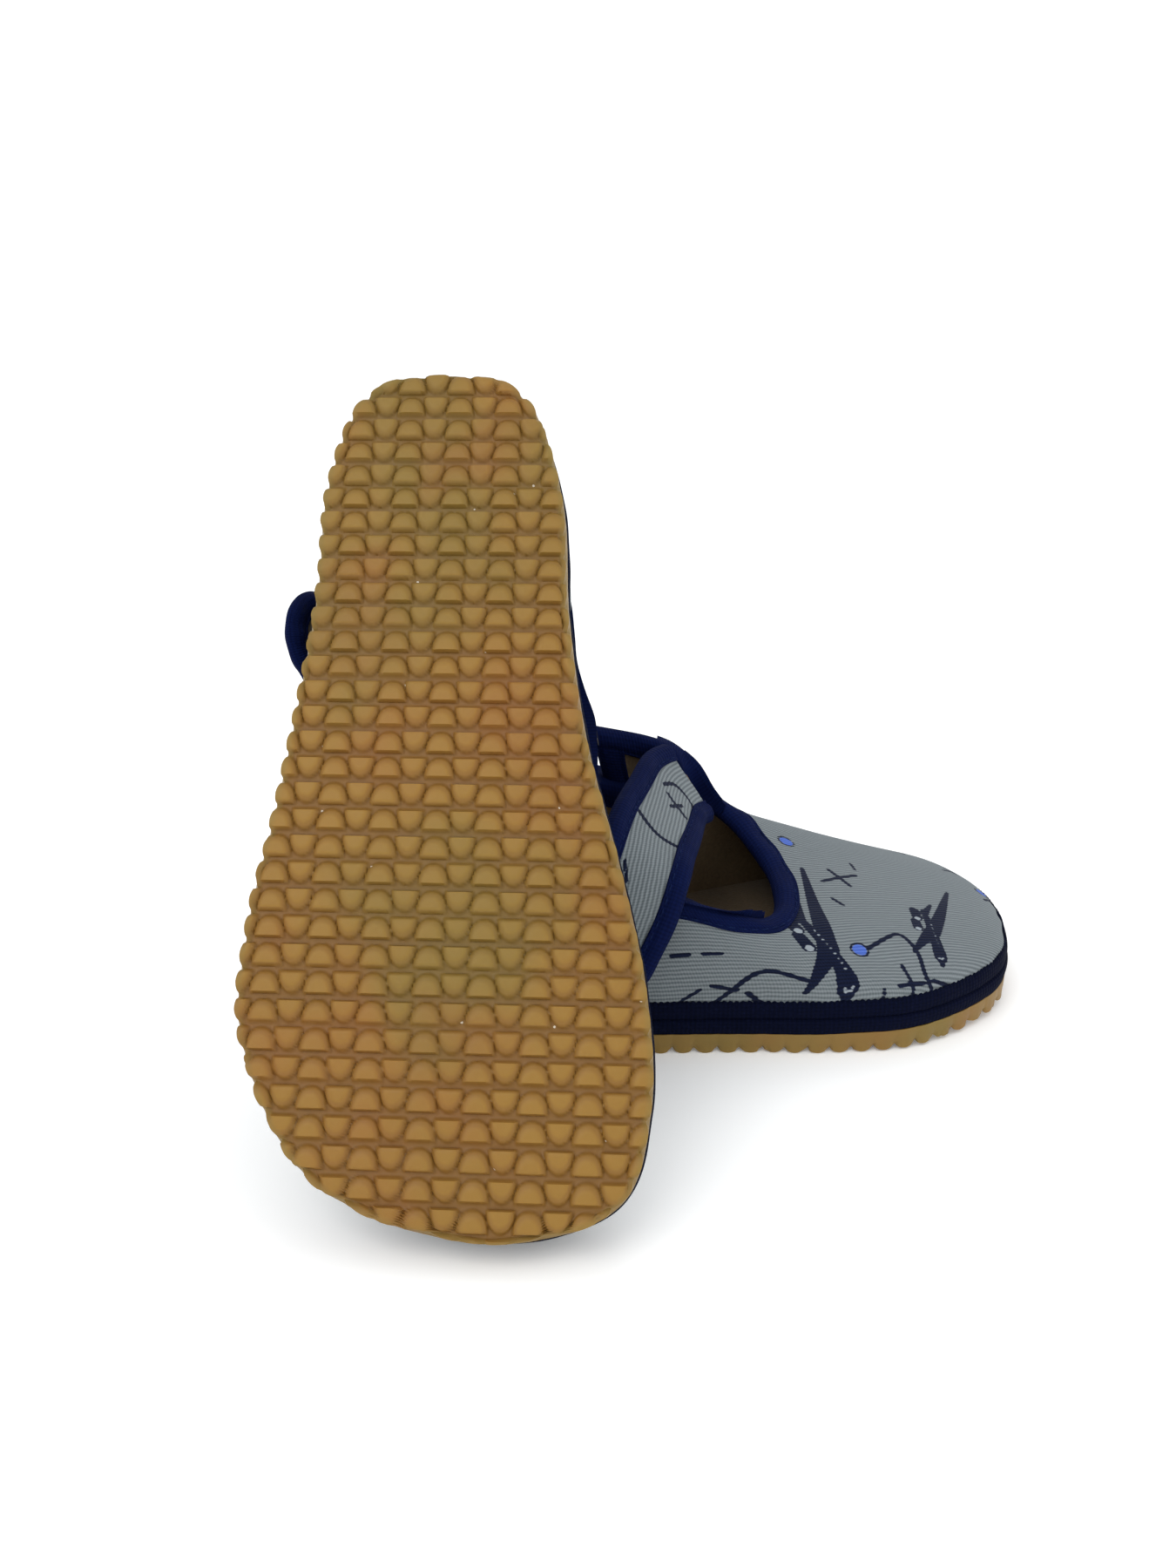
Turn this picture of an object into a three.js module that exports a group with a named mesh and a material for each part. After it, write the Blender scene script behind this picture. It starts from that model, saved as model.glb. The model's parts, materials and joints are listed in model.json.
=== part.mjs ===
// A pair of children's textile slippers with a hook-and-loop instep strap.
// Millimetres, +Z up. The right shoe stands flat on its sole with its toe along +X and its
// inner (big toe) side along +Y. The left shoe stands on its toe and leans back over the
// outer side of the right one, sole outward. The origin is the middle of the right sole.
import * as THREE from 'three';

// ---- Driving dimensions ----
const soleLength = 178.4;
const ballWidth = 80.3;
const outsoleThickness = 5.0;
const platformThickness = 6.3;
const insoleThickness = 2.2;
const toeSpring = 2.5; // how far the tip of the toe curls up from the ground
const springStart = 0.06; // where the curl starts, as a share of the length ahead of the middle
const upperHeight = 54.2; // from the top of the platform to the peak of the instep tab
const clearance = 0.3; // between layers that touch on the real shoe
const fabricThickness = 0.9;
const stiffenerThickness = 0.5;
const liningThickness = 0.6;
const randThickness = 1.2;
const bindingWidth = 5.5;
const bindingOverhang = 0.4; // how far a binding stands proud of the cloth on either side
const upperInset = 1.2; // from the edge of the sole to the foot of the upper
const strapWidth = 22.0;
const strapBindingWidth = 4.8;
const patchLength = 22.0; // hook patch along the strap
const patchThickness = 0.7;

// ---- Placing of the left shoe ----
const leanFromVertical = THREE.MathUtils.degToRad(34);
const leanHeading = THREE.MathUtils.degToRad(10.9);
const leftBehindMiddle = 0.222 * soleLength + strapWidth; // the left tab clears the right strap
const leftOutward = 0.977 * upperHeight; // the walls of both shoes keep their soles apart

// ---- Heights that follow ----
const platformBottom = outsoleThickness + clearance;
const platformTop = platformBottom + platformThickness;
const insoleBottom = platformTop + clearance;
const randTop = platformTop + 0.9;
const featherLine = randTop + clearance; // where the upper starts
const stiffenerDepth = fabricThickness + clearance;
const liningDepth = stiffenerDepth + stiffenerThickness + clearance;
const wallThickness = liningDepth + liningThickness;
const tuckDepth = wallThickness + 4 * clearance + bindingOverhang;
const insoleInset = upperInset + tuckDepth + wallThickness + clearance; // clears every wall

// Outline of the sole, one point every twentieth part or so of the way round: from the back
// of the heel along the outer side to the toe and back along the inner side.
// Each point is a share of the length and a share of the ball width.
const outlineShares = [
  [-0.500, -0.026], [-0.468, -0.255], [-0.350, -0.341], [-0.221, -0.346], [-0.085, -0.371],
  [0.050, -0.407], [0.174, -0.448], [0.303, -0.439], [0.444, -0.248], [0.500, 0.131],
  [0.465, 0.451], [0.362, 0.535], [0.232, 0.518], [0.097, 0.448], [-0.044, 0.361],
  [-0.191, 0.307], [-0.338, 0.280], [-0.465, 0.178],
];
const outlineCount = outlineShares.length;

// Top edge of the vamp, from its outer rear corner round the throat to the peak of the tab,
// one point for each outline point from vampFirst on: shares of length, width and height.
const vampFirst = 3;
const vampTop = [
  [-0.235, -0.305, 0.620], [-0.135, -0.311, 0.575], [-0.034, -0.349, 0.483],
  [0.034, -0.336, 0.391], [0.084, -0.286, 0.327], [0.112, -0.212, 0.317], [0.126, -0.100, 0.345],
  [0.127, 0.025, 0.391], [0.104, 0.174, 0.493], [0.067, 0.262, 0.613], [0.006, 0.286, 0.871],
  [-0.112, 0.255, 1.000],
];
// Top edge of the heel quarter, from inside the tab round the heel to the outer side.
const quarterFirst = 13;
const quarterTop = [
  [0.034, 0.290, 0.575], [-0.067, 0.286, 0.705], [-0.191, 0.268, 0.797], [-0.331, 0.237, 0.760],
  [-0.437, 0.143, 0.769], [-0.471, -0.025, 0.797], [-0.440, -0.199, 0.760],
  [-0.331, -0.286, 0.690], [-0.202, -0.305, 0.605], [-0.084, -0.311, 0.510],
  [0.022, -0.336, 0.446],
];
// Middle line of each strap, from inside the tab over the instep to its tip on the outer
// side. The left shoe keeps the outer part of the right strap nearer the toe.
const leftStrapLine = [
  [0.021, 0.165, 0.748], [-0.006, 0.080, 0.766], [-0.052, -0.060, 0.748],
  [-0.095, -0.215, 0.728], [-0.132, -0.345, 0.665], [-0.172, -0.410, 0.510],
  [-0.215, -0.437, 0.330], [-0.250, -0.480, 0.185],
];
const rightStrapLine = [
  [0.021, 0.165, 0.748], [-0.005, 0.080, 0.766], [-0.031, -0.060, 0.748],
  [-0.060, -0.215, 0.728], [-0.084, -0.345, 0.665], [-0.108, -0.410, 0.510],
  [-0.138, -0.437, 0.330], [-0.167, -0.480, 0.185],
];
// Direction across the strap towards the toe, at its root and at its tip.
const strapAcrossRoot = [0.68, 0, -0.73];
const strapAcrossTip = [0.97, -0.05, -0.22];

const mix = (a, b, w) => a + (b - a) * w;
const smooth = (a, b, x) => THREE.MathUtils.smoothstep(x, a, b);

// Uniform Catmull-Rom curve through points, at u counted in points.
function splineAt(points, u, closed) {
  const count = points.length;
  const last = closed ? Infinity : count - 2;
  const start = Math.max(0, Math.min(Math.floor(u), last));
  const t = u - start;
  const at = (k) => (closed ? points[((k % count) + count) % count]
    : points[Math.max(0, Math.min(count - 1, k))]);
  const [a, b, c, d] = [at(start - 1), at(start), at(start + 1), at(start + 2)];
  return b.map((_, k) => 0.5 * (2 * b[k] + (c[k] - a[k]) * t
    + (2 * a[k] - 5 * b[k] + 4 * c[k] - d[k]) * t * t
    + (3 * b[k] - a[k] - 3 * c[k] + d[k]) * t * t * t));
}

// Point of the sole's edge at index i, moved inward by inset, with its outward direction.
function soleEdge(i, inset) {
  const scaled = ([x, y]) => [x * soleLength, y * ballWidth];
  const [x, y] = scaled(splineAt(outlineShares, i, true));
  const ahead = scaled(splineAt(outlineShares, i + 0.02, true));
  const behind = scaled(splineAt(outlineShares, i - 0.02, true));
  const along = new THREE.Vector2(ahead[0] - behind[0], ahead[1] - behind[1]).normalize();
  const out = new THREE.Vector2(along.y, -along.x);
  return { x: x - out.x * inset, y: y - out.y * inset, out };
}

// Height that the curled toe adds at a distance x along the shoe.
function toeLift(x) {
  const start = springStart * soleLength;
  const share = Math.max(0, (x - start) / (soleLength / 2 - start));
  return toeSpring * share * share;
}

const place = ([x, y, z]) => new THREE.Vector3(
  x * soleLength, y * ballWidth, featherLine + z * upperHeight);

// The four Bezier points of the wall at index i: foot, bulge above it, shoulder, top edge.
// Where the top edge is far in, as over the toes, the wall lies down into a low dome.
function wallPoints(i, top, first) {
  const foot = soleEdge(i, upperInset);
  const low = new THREE.Vector3(foot.x, foot.y, featherLine + toeLift(foot.x));
  const high = place(splineAt(top, i - first, false));
  const rise = high.z - low.z;
  const reach = Math.hypot(high.x - low.x, high.y - low.y);
  const lie = smooth(15, 60, reach);
  const bulge = mix(1.6, 0.6, lie);
  const firstPoint = new THREE.Vector3(low.x + foot.out.x * bulge, low.y + foot.out.y * bulge,
    low.z + mix(0.38 * rise, 5, lie));
  const share = mix(0.15, 0.42, lie);
  const secondPoint = new THREE.Vector3(mix(high.x, low.x, share), mix(high.y, low.y, share),
    high.z + mix(-0.3 * rise, -2, lie));
  return [low, firstPoint, secondPoint, high];
}

function bezierAt([a, b, c, d], t) {
  const s = 1 - t;
  return a.clone().multiplyScalar(s * s * s).addScaledVector(b, 3 * s * s * t)
    .addScaledVector(c, 3 * s * t * t).addScaledVector(d, t * t * t);
}

// Share of a wall that is left below a band of the given width along its top edge.
function belowTop(i, top, first, width) {
  const [, , shoulder, edge] = wallPoints(i, top, first);
  return 1 - width / (3 * shoulder.distanceTo(edge));
}

// Point of a wall at index i and share t of its height, moved along its outward normal.
function wallAt(i, t, offset, top, first) {
  const point = bezierAt(wallPoints(i, top, first), t);
  const step = 0.02;
  const round = bezierAt(wallPoints(i + step, top, first), t)
    .sub(bezierAt(wallPoints(i - step, top, first), t));
  const up = bezierAt(wallPoints(i, top, first), Math.min(1, t + step))
    .sub(bezierAt(wallPoints(i, top, first), Math.max(0, t - step)));
  return point.addScaledVector(round.cross(up).normalize(), offset);
}

const vampAt = (i, t, offset) => wallAt(i, t, offset, vampTop, vampFirst);
// The quarter tucks in under the vamp at both of its ends, but its foot stays at the band.
function quarterAt(i, t, offset) {
  const tuck = tuckDepth * Math.max(1 - smooth(14.6, 15.5, i), smooth(20.2, 21.1, i))
    * mix(1, smooth(0, 0.3, t), smooth(14.1, 14.4, i) * (1 - smooth(20.9, 21.2, i)));
  return wallAt(i, t, offset - tuck, quarterTop, quarterFirst);
}

// Closed slab between two faces of a grid. faceAt(i, j, side) gives a vertex, side 0 inside
// and 1 outside; i runs 0..columns, j runs 0..rows, and the outer face looks along i x j.
function slabGeometry(columns, rows, faceAt) {
  const positions = [];
  const index = (i, j, side) => (side * (columns + 1) + i) * (rows + 1) + j;
  for (const side of [0, 1]) {
    for (let i = 0; i <= columns; i += 1) {
      for (let j = 0; j <= rows; j += 1) positions.push(...faceAt(i, j, side).toArray());
    }
  }
  const faces = [];
  const quad = (a, b, c, d) => faces.push(a, b, c, a, c, d);
  for (let i = 0; i < columns; i += 1) {
    for (let j = 0; j < rows; j += 1) {
      quad(index(i, j, 1), index(i + 1, j, 1), index(i + 1, j + 1, 1), index(i, j + 1, 1));
      quad(index(i, j, 0), index(i, j + 1, 0), index(i + 1, j + 1, 0), index(i + 1, j, 0));
    }
  }
  for (let i = 0; i < columns; i += 1) {
    quad(index(i, 0, 0), index(i + 1, 0, 0), index(i + 1, 0, 1), index(i, 0, 1));
    quad(index(i + 1, rows, 0), index(i, rows, 0), index(i, rows, 1), index(i + 1, rows, 1));
  }
  for (let j = 0; j < rows; j += 1) {
    quad(index(0, j + 1, 0), index(0, j, 0), index(0, j, 1), index(0, j + 1, 1));
    quad(index(columns, j, 0), index(columns, j + 1, 0),
      index(columns, j + 1, 1), index(columns, j, 1));
  }
  const geometry = new THREE.BufferGeometry();
  geometry.setAttribute('position', new THREE.Float32BufferAttribute(positions, 3));
  geometry.setIndex(faces);
  return geometry;
}

// Layer over some columns and rows of a wall's grid, so that every layer of a wall bends at
// the same places. The grid covers a span of indexes, up to the share edgeAt of the height.
function wallLayer({ surfaceAt, span, edgeAt, columns, rows }, acrossRange, upRange, depths) {
  const [firstColumn, lastColumn] = acrossRange;
  const [firstRow, lastRow] = upRange;
  return slabGeometry(lastColumn - firstColumn, lastRow - firstRow, (a, b, side) => {
    const i = mix(span[0], span[1], (firstColumn + a) / columns);
    return surfaceAt(i, edgeAt(i) * (firstRow + b) / rows, side ? depths[1] : depths[0]);
  });
}

// Band on a wall between two shares of its height, each a function of the index.
function wallBand(surfaceAt, span, shares, depths, columns, rows) {
  return slabGeometry(columns, rows, (a, b, side) => {
    const i = mix(span[0], span[1], a / columns);
    return surfaceAt(i, mix(shares[0](i), shares[1](i), b / rows), side ? depths[1] : depths[0]);
  });
}

// Flat layer of the bottom, with the sole's outline moved inward and the curl of the toe.
function bottomLayer(inset, low, high, columns, rows) {
  const samples = 720;
  const edge = [];
  for (let k = 0; k < samples; k += 1) edge.push(soleEdge(k / samples * outlineCount, inset));
  const heel = Math.min(...edge.map((p) => p.x));
  const toe = Math.max(...edge.map((p) => p.x));
  // Where the outline crosses a station: the lowest and the highest y.
  const crossings = (x) => {
    const found = [];
    for (let k = 0; k < samples; k += 1) {
      const [p, q] = [edge[k], edge[(k + 1) % samples]];
      if ((p.x - x) * (q.x - x) <= 0 && p.x !== q.x) {
        found.push(mix(p.y, q.y, (x - p.x) / (q.x - p.x)));
      }
    }
    return [Math.min(...found), Math.max(...found)];
  };
  const blunt = 0.25; // first and last stations stay this far inside the outline
  const stations = [];
  for (let k = 0; k <= columns; k += 1) {
    const x = mix(heel + blunt, toe - blunt, (1 - Math.cos(Math.PI * k / columns)) / 2);
    stations.push({ x, sides: crossings(x), lift: toeLift(x) });
  }
  return slabGeometry(columns, rows, (a, b, side) => {
    const { x, sides, lift } = stations[a];
    return new THREE.Vector3(x, mix(sides[0], sides[1], b / rows), (side ? high : low) + lift);
  });
}

// Fabric band round the edge of the platform, a closed ring.
function randBand(segments) {
  const positions = [];
  const corners = [[0.1, platformBottom], [0.1, randTop], [0.1 + randThickness, randTop],
    [0.1 + randThickness, platformBottom]];
  for (let k = 0; k < segments; k += 1) {
    for (const [inset, z] of corners) {
      const p = soleEdge(k / segments * outlineCount, inset);
      positions.push(p.x, p.y, z + toeLift(p.x));
    }
  }
  const faces = [];
  for (let k = 0; k < segments; k += 1) {
    const next = (k + 1) % segments;
    for (let c = 0; c < 4; c += 1) {
      const d = (c + 1) % 4;
      faces.push(k * 4 + c, next * 4 + c, next * 4 + d, k * 4 + c, next * 4 + d, k * 4 + d);
    }
  }
  const geometry = new THREE.BufferGeometry();
  geometry.setAttribute('position', new THREE.Float32BufferAttribute(positions, 3));
  geometry.setIndex(faces);
  return geometry;
}

// ---- Straps ----
// Points along the middle of a strap and how far along it each one is.
function strapRoute(line) {
  const steps = 80;
  const points = Array.from({ length: steps + 1 },
    (_, k) => place(splineAt(line, k / steps * (line.length - 1), false)));
  const run = [0];
  for (let k = 1; k <= steps; k += 1) {
    run.push(run[k - 1] + points[k].distanceTo(points[k - 1]));
  }
  return { steps, points, run, length: run[steps] };
}
const leftStrap = strapRoute(leftStrapLine);
const rightStrap = strapRoute(rightStrapLine);

// Point of the strap at a distance along it, a distance across it and an offset off its face.
function strapAt(strap, along, across, offset) {
  const { steps, points, run, length } = strap;
  let k = run.findIndex((distance) => distance > along) - 1;
  if (k < 0) k = along <= 0 ? 0 : steps - 1;
  const share = (along - run[k]) / (run[k + 1] - run[k]);
  const tangentAt = (n) => points[Math.min(steps, n + 1)].clone()
    .sub(points[Math.max(0, n - 1)]).normalize();
  const tangent = tangentAt(k).lerp(tangentAt(k + 1), share).normalize();
  const side = new THREE.Vector3(...strapAcrossRoot)
    .lerp(new THREE.Vector3(...strapAcrossTip), along / length);
  side.addScaledVector(tangent, -side.dot(tangent)).normalize();
  const normal = side.clone().cross(tangent).normalize().negate();
  return points[k].clone().lerp(points[k + 1], share)
    .addScaledVector(side, across).addScaledVector(normal, offset);
}

// Layer of the strap with straight sides and a round tip, halfWidth either side of its middle.
function strapLayer(strap, halfWidth, depths, columns) {
  const roundStart = strap.length - strapWidth / 2;
  const straight = Math.round(columns * 0.7);
  return slabGeometry(columns, 2, (a, b, side) => {
    const turn = Math.max(0, a - straight) / (columns - straight) * 1.5; // radians
    const along = a <= straight ? roundStart * a / straight
      : roundStart + halfWidth * Math.sin(turn);
    const across = halfWidth * Math.cos(turn) * (b - 1);
    return strapAt(strap, along, across, side ? depths[1] : depths[0]);
  });
}

// Binding round the edge of the strap: down one side, round the tip and up the other.
function strapEdge(strap, depths, straightSteps, turnSteps) {
  const roundStart = strap.length - strapWidth / 2;
  const route = [];
  for (let k = 0; k < straightSteps; k += 1) route.push([roundStart * k / straightSteps, 0]);
  for (let k = 0; k <= turnSteps; k += 1) route.push([roundStart, Math.PI * k / turnSteps]);
  for (let k = straightSteps - 1; k >= 0; k -= 1) {
    route.push([roundStart * k / straightSteps, Math.PI]);
  }
  return slabGeometry(route.length - 1, 1, (a, b, side) => {
    const radius = strapWidth / 2 - b * strapBindingWidth;
    const [start, turn] = route[a];
    const along = start + radius * Math.sin(turn);
    const across = -radius * Math.cos(turn);
    return strapAt(strap, along, across, side ? depths[1] : depths[0]);
  });
}

// ---- Colours ----
const finish = (color, roughness) => new THREE.MeshStandardMaterial({ color, roughness });
const gumRubber = finish('#b98f45', 0.6);
const navyCloth = finish('#1b2550', 0.9);
const printedTwill = finish('#9aa5b1', 0.9);
const beigeCotton = finish('#a58d6b', 0.95);
const whiteBoard = finish('#cfcac0', 0.9);
const hookTape = finish('#1a2140', 0.95);

const vampSpan = [3.3, 14];
const quarterSpan = [13.7, 21.75];
const toTop = () => 1;
const vampBand = (i) => belowTop(i, vampTop, vampFirst, bindingWidth);
const vampEdge = (i) => belowTop(i, vampTop, vampFirst, bindingWidth + 6 * clearance);
const quarterBand = (i) => belowTop(i, quarterTop, quarterFirst, bindingWidth);
const quarterEdge = (i) => belowTop(i, quarterTop, quarterFirst, bindingWidth + 6 * clearance);
const bandDepths = [-wallThickness - bindingOverhang, bindingOverhang];
const tabEdge = 0.25; // index width of the binding down the rear edge of the tab
const tabEdgeFoot = 0.12; // where that binding starts, above the platform
const vampGrid = { surfaceAt: vampAt, span: [vampSpan[0], vampSpan[1] - tabEdge - 0.015],
  edgeAt: vampEdge, columns: 22, rows: 6 };
const quarterGrid = { surfaceAt: quarterAt, span: quarterSpan, edgeAt: quarterEdge,
  columns: 18, rows: 4 };
const strapHalf = strapWidth / 2 - strapBindingWidth - 1.5 * clearance;
const strapFace = fabricThickness / 2;
const strapBack = -strapFace - clearance - liningThickness;
const patchBack = strapBack - 1.5 * clearance - patchThickness;

// Every piece of one shoe with its strap: name, geometry, material.
function shoePieces(strap) {
  const lining = [-wallThickness, -liningDepth];
  const stiffener = [-stiffenerDepth - stiffenerThickness, -stiffenerDepth];
  const cloth = [-fabricThickness, 0];
  const patchStart = strap.length - strapWidth / 2 - patchLength;
  return [
    ['outsole', bottomLayer(0, 0, outsoleThickness, 26, 3), gumRubber],
    ['platform', bottomLayer(0.1 + randThickness + clearance, platformBottom, platformTop, 26, 1),
      whiteBoard],
    ['rand', randBand(54), navyCloth],
    ['insole', bottomLayer(insoleInset, insoleBottom, insoleBottom + insoleThickness, 26, 1),
      beigeCotton],
    ['vamp', wallLayer(vampGrid, [0, 22], [0, 6], cloth), printedTwill],
    ['vamp_lining', wallLayer(vampGrid, [0, 22], [0, 6], lining), beigeCotton],
    ['toe_puff', wallLayer(vampGrid, [8, 17], [0, 3], stiffener), whiteBoard],
    ['throat_binding', wallBand(vampAt, vampSpan, [vampBand, toTop], bandDepths, 24, 1),
      navyCloth],
    ['tab_binding', wallBand(vampAt, [vampSpan[1] - tabEdge, vampSpan[1]],
      [() => tabEdgeFoot, vampEdge], bandDepths, 1, 5), navyCloth],
    ['quarter', wallLayer(quarterGrid, [0, 18], [0, 4], cloth), printedTwill],
    ['quarter_lining', wallLayer(quarterGrid, [0, 18], [0, 4], lining), beigeCotton],
    ['heel_counter', wallLayer(quarterGrid, [5, 14], [0, 3], stiffener), whiteBoard],
    ['collar_binding', wallBand(quarterAt, quarterSpan, [quarterBand, toTop], bandDepths, 18, 1),
      navyCloth],
    ['loop_patch', wallLayer(vampGrid, [0, 2], [1, 4], [clearance, clearance + patchThickness]),
      hookTape],
    ['strap', strapLayer(strap, strapHalf, [-strapFace, strapFace], 14), printedTwill],
    ['strap_lining', strapLayer(strap, strapHalf, [strapBack, -strapFace - clearance], 14),
      beigeCotton],
    ['strap_binding', strapEdge(strap, [strapBack - bindingOverhang,
      strapFace + bindingOverhang], 9, 6), navyCloth],
    ['hook_patch', slabGeometry(4, 1, (a, b, side) => strapAt(strap,
      patchStart + patchLength * a / 4, (b * 2 - 1) * (strapHalf - clearance),
      side ? patchBack + patchThickness : patchBack)), hookTape],
  ];
}

// Mirror image of a geometry through the plane y = 0, with its faces turned back outward.
function mirrored(geometry) {
  const copy = geometry.clone().scale(1, -1, 1);
  const index = Array.from(copy.index.array);
  for (let k = 0; k < index.length; k += 3) [index[k], index[k + 1]] = [index[k + 1], index[k]];
  copy.setIndex(index);
  return copy;
}

const pair = new THREE.Group();
const rightShoe = new THREE.Group();
const leftShoe = new THREE.Group();
for (const [name, geometry, material] of shoePieces(rightStrap)) {
  const right = new THREE.Mesh(geometry, material);
  right.name = `right_${name}`;
  rightShoe.add(right);
}
for (const [name, geometry, material] of shoePieces(leftStrap)) {
  const left = new THREE.Mesh(mirrored(geometry), material);
  left.name = `left_${name}`;
  leftShoe.add(left);
}

// The left shoe: toe down and towards -Y, its sole facing -Y, turned a little about Z.
const [sinLean, cosLean] = [Math.sin(leanFromVertical), Math.cos(leanFromVertical)];
const [sinTurn, cosTurn] = [Math.sin(leanHeading), Math.cos(leanHeading)];
leftShoe.setRotationFromMatrix(new THREE.Matrix4().makeBasis(
  new THREE.Vector3(-sinTurn * sinLean, -cosTurn * sinLean, -cosLean),
  new THREE.Vector3(-cosTurn, sinTurn, 0),
  new THREE.Vector3(sinTurn * cosLean, cosTurn * cosLean, -sinLean)));
leftShoe.position.set(-leftBehindMiddle, -leftOutward, 0);
// It is lifted until its lowest point touches the ground.
leftShoe.position.z = -new THREE.Box3().setFromObject(leftShoe, true).min.z;

pair.add(rightShoe, leftShoe);
export default pair;
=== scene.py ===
import json
import math

import bpy
import numpy as np
from mathutils import Matrix, Vector


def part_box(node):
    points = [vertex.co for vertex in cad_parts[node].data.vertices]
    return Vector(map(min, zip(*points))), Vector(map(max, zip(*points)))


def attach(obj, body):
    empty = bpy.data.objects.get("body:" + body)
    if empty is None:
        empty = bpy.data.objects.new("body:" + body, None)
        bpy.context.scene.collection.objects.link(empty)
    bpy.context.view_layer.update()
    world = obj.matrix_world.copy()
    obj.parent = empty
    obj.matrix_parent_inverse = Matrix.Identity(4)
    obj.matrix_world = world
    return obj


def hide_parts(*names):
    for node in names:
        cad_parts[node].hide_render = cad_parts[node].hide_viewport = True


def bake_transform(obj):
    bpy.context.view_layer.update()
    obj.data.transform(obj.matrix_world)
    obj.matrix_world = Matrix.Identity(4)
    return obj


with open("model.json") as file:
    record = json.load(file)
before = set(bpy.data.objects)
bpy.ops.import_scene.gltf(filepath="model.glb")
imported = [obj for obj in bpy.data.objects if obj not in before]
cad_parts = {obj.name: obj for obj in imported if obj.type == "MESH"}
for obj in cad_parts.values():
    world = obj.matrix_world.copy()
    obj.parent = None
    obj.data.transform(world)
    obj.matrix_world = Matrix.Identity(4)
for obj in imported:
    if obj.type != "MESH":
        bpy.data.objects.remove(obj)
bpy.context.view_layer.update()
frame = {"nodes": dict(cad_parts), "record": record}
print("frame loaded")

# Sizes are in millimetres. One shoe is worked out in its own frame: toe along +X, big toe side
# along +Y, sole at z = 0.
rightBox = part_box("right_rand")
edgeGap = 0.1  # the band round the sole starts this far inside the edge of the sole
soleLength = (rightBox[1].x - rightBox[0].x) * 1000 + 2 * edgeGap
soleWidth = (rightBox[1].y - rightBox[0].y) * 1000 + 2 * edgeGap
shoe = {
    "ballWidth": soleWidth / 0.989,      # the outline below spans this share of it
    "outsoleThickness": 5.0,
    "platformTop": 11.6,
    "featherLine": 12.8,                 # where the upper meets the band round the sole
    "upperHeight": 54.2,
    "toeSpring": 2.5,
    "springStart": 0.06,
    "upperInset": 1.2,
    "clothThickness": 0.9,
    "liningDepth": 2.1,
    "wallThickness": 2.7,
    "tuck": 4.2,                         # the heel quarter goes this far in under the vamp
    "bindingWidth": 5.5,
    "strapWidth": 22.0,
    "strapBinding": 4.8,
}

# Outline of the sole from the back of the heel along the outer side to the toe and back,
# in shares of length and of width.
outlineShares = np.array([
    [-0.500, -0.026], [-0.468, -0.255], [-0.350, -0.341], [-0.221, -0.346], [-0.085, -0.371],
    [0.050, -0.407], [0.174, -0.448], [0.303, -0.439], [0.444, -0.248], [0.500, 0.131],
    [0.465, 0.451], [0.362, 0.535], [0.232, 0.518], [0.097, 0.448], [-0.044, 0.361],
    [-0.191, 0.307], [-0.338, 0.280], [-0.465, 0.178],
])
outlineCount = len(outlineShares)

# Top edge of the vamp from its outer rear corner round the throat to the peak of the tab,
# and of the heel quarter from inside the tab round the heel to the outer side.
vamp = {"first": 3, "span": (3.3, 14.0), "top": np.array([
    [-0.235, -0.305, 0.620], [-0.135, -0.311, 0.575], [-0.034, -0.349, 0.483],
    [0.034, -0.336, 0.391], [0.084, -0.286, 0.327], [0.112, -0.212, 0.317],
    [0.126, -0.100, 0.345], [0.127, 0.025, 0.391], [0.104, 0.174, 0.493],
    [0.067, 0.262, 0.613], [0.006, 0.286, 0.871], [-0.112, 0.255, 1.000],
])}
quarter = {"first": 13, "span": (13.7, 21.75), "top": np.array([
    [0.034, 0.290, 0.575], [-0.067, 0.286, 0.705], [-0.191, 0.268, 0.797],
    [-0.331, 0.237, 0.760], [-0.437, 0.143, 0.769], [-0.471, -0.025, 0.797],
    [-0.440, -0.199, 0.760], [-0.331, -0.286, 0.690], [-0.202, -0.305, 0.605],
    [-0.084, -0.311, 0.510], [0.022, -0.336, 0.446],
])}
wallShape = {
    "lies": (15, 60),         # reach inward, in mm, over which a wall lies down into a dome
    "bulge": (1.6, 0.6),      # mm outward, for an upright wall and for one that lies
    "bulgeRise": (0.38, 5),   # share of the rise when upright, mm when lying
    "shoulder": (0.15, 0.42),  # how far back from the top edge to the foot
    "shoulderDrop": (-0.3, -2),  # share of the rise when upright, mm when lying
}
# indexes over which the quarter tucks in under the vamp at its two ends, those where its foot
# comes back out to the band, and the height share where it has tucked in fully
tuckShape = {"insideTab": (14.6, 15.5), "outerSide": (20.2, 21.1), "footAtTab": (14.03, 14.16),
             "footOuter": (20.9, 21.2), "height": 0.3}
nearby = 0.02  # step of an index or a share over which a direction is taken

strapLines = {
    "left": np.array([
        [0.021, 0.165, 0.748], [-0.006, 0.080, 0.766], [-0.052, -0.060, 0.748],
        [-0.095, -0.215, 0.728], [-0.132, -0.345, 0.665], [-0.172, -0.410, 0.510],
        [-0.215, -0.437, 0.330], [-0.250, -0.480, 0.185],
    ]),
    # the left shoe keeps the outer part of this strap nearer the toe
    "right": np.array([
        [0.021, 0.165, 0.748], [-0.005, 0.080, 0.766], [-0.031, -0.060, 0.748],
        [-0.060, -0.215, 0.728], [-0.084, -0.345, 0.665], [-0.108, -0.410, 0.510],
        [-0.138, -0.437, 0.330], [-0.167, -0.480, 0.185],
    ]),
}
strapAcross = np.array([[0.68, 0, -0.73], [0.97, -0.05, -0.22]])  # at its root and at its tip


def mix(a, b, w):
    return a + (b - a) * w


def smooth(a, b, x):
    # 0 below a, 1 above b, and 3s^2 - 2s^3 between
    s = np.clip((x - a) / (b - a), 0, 1)
    return s * s * (3 - 2 * s)


def unit(v):
    return v / np.maximum(np.linalg.norm(v, axis=-1, keepdims=True), 1e-9)


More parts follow.
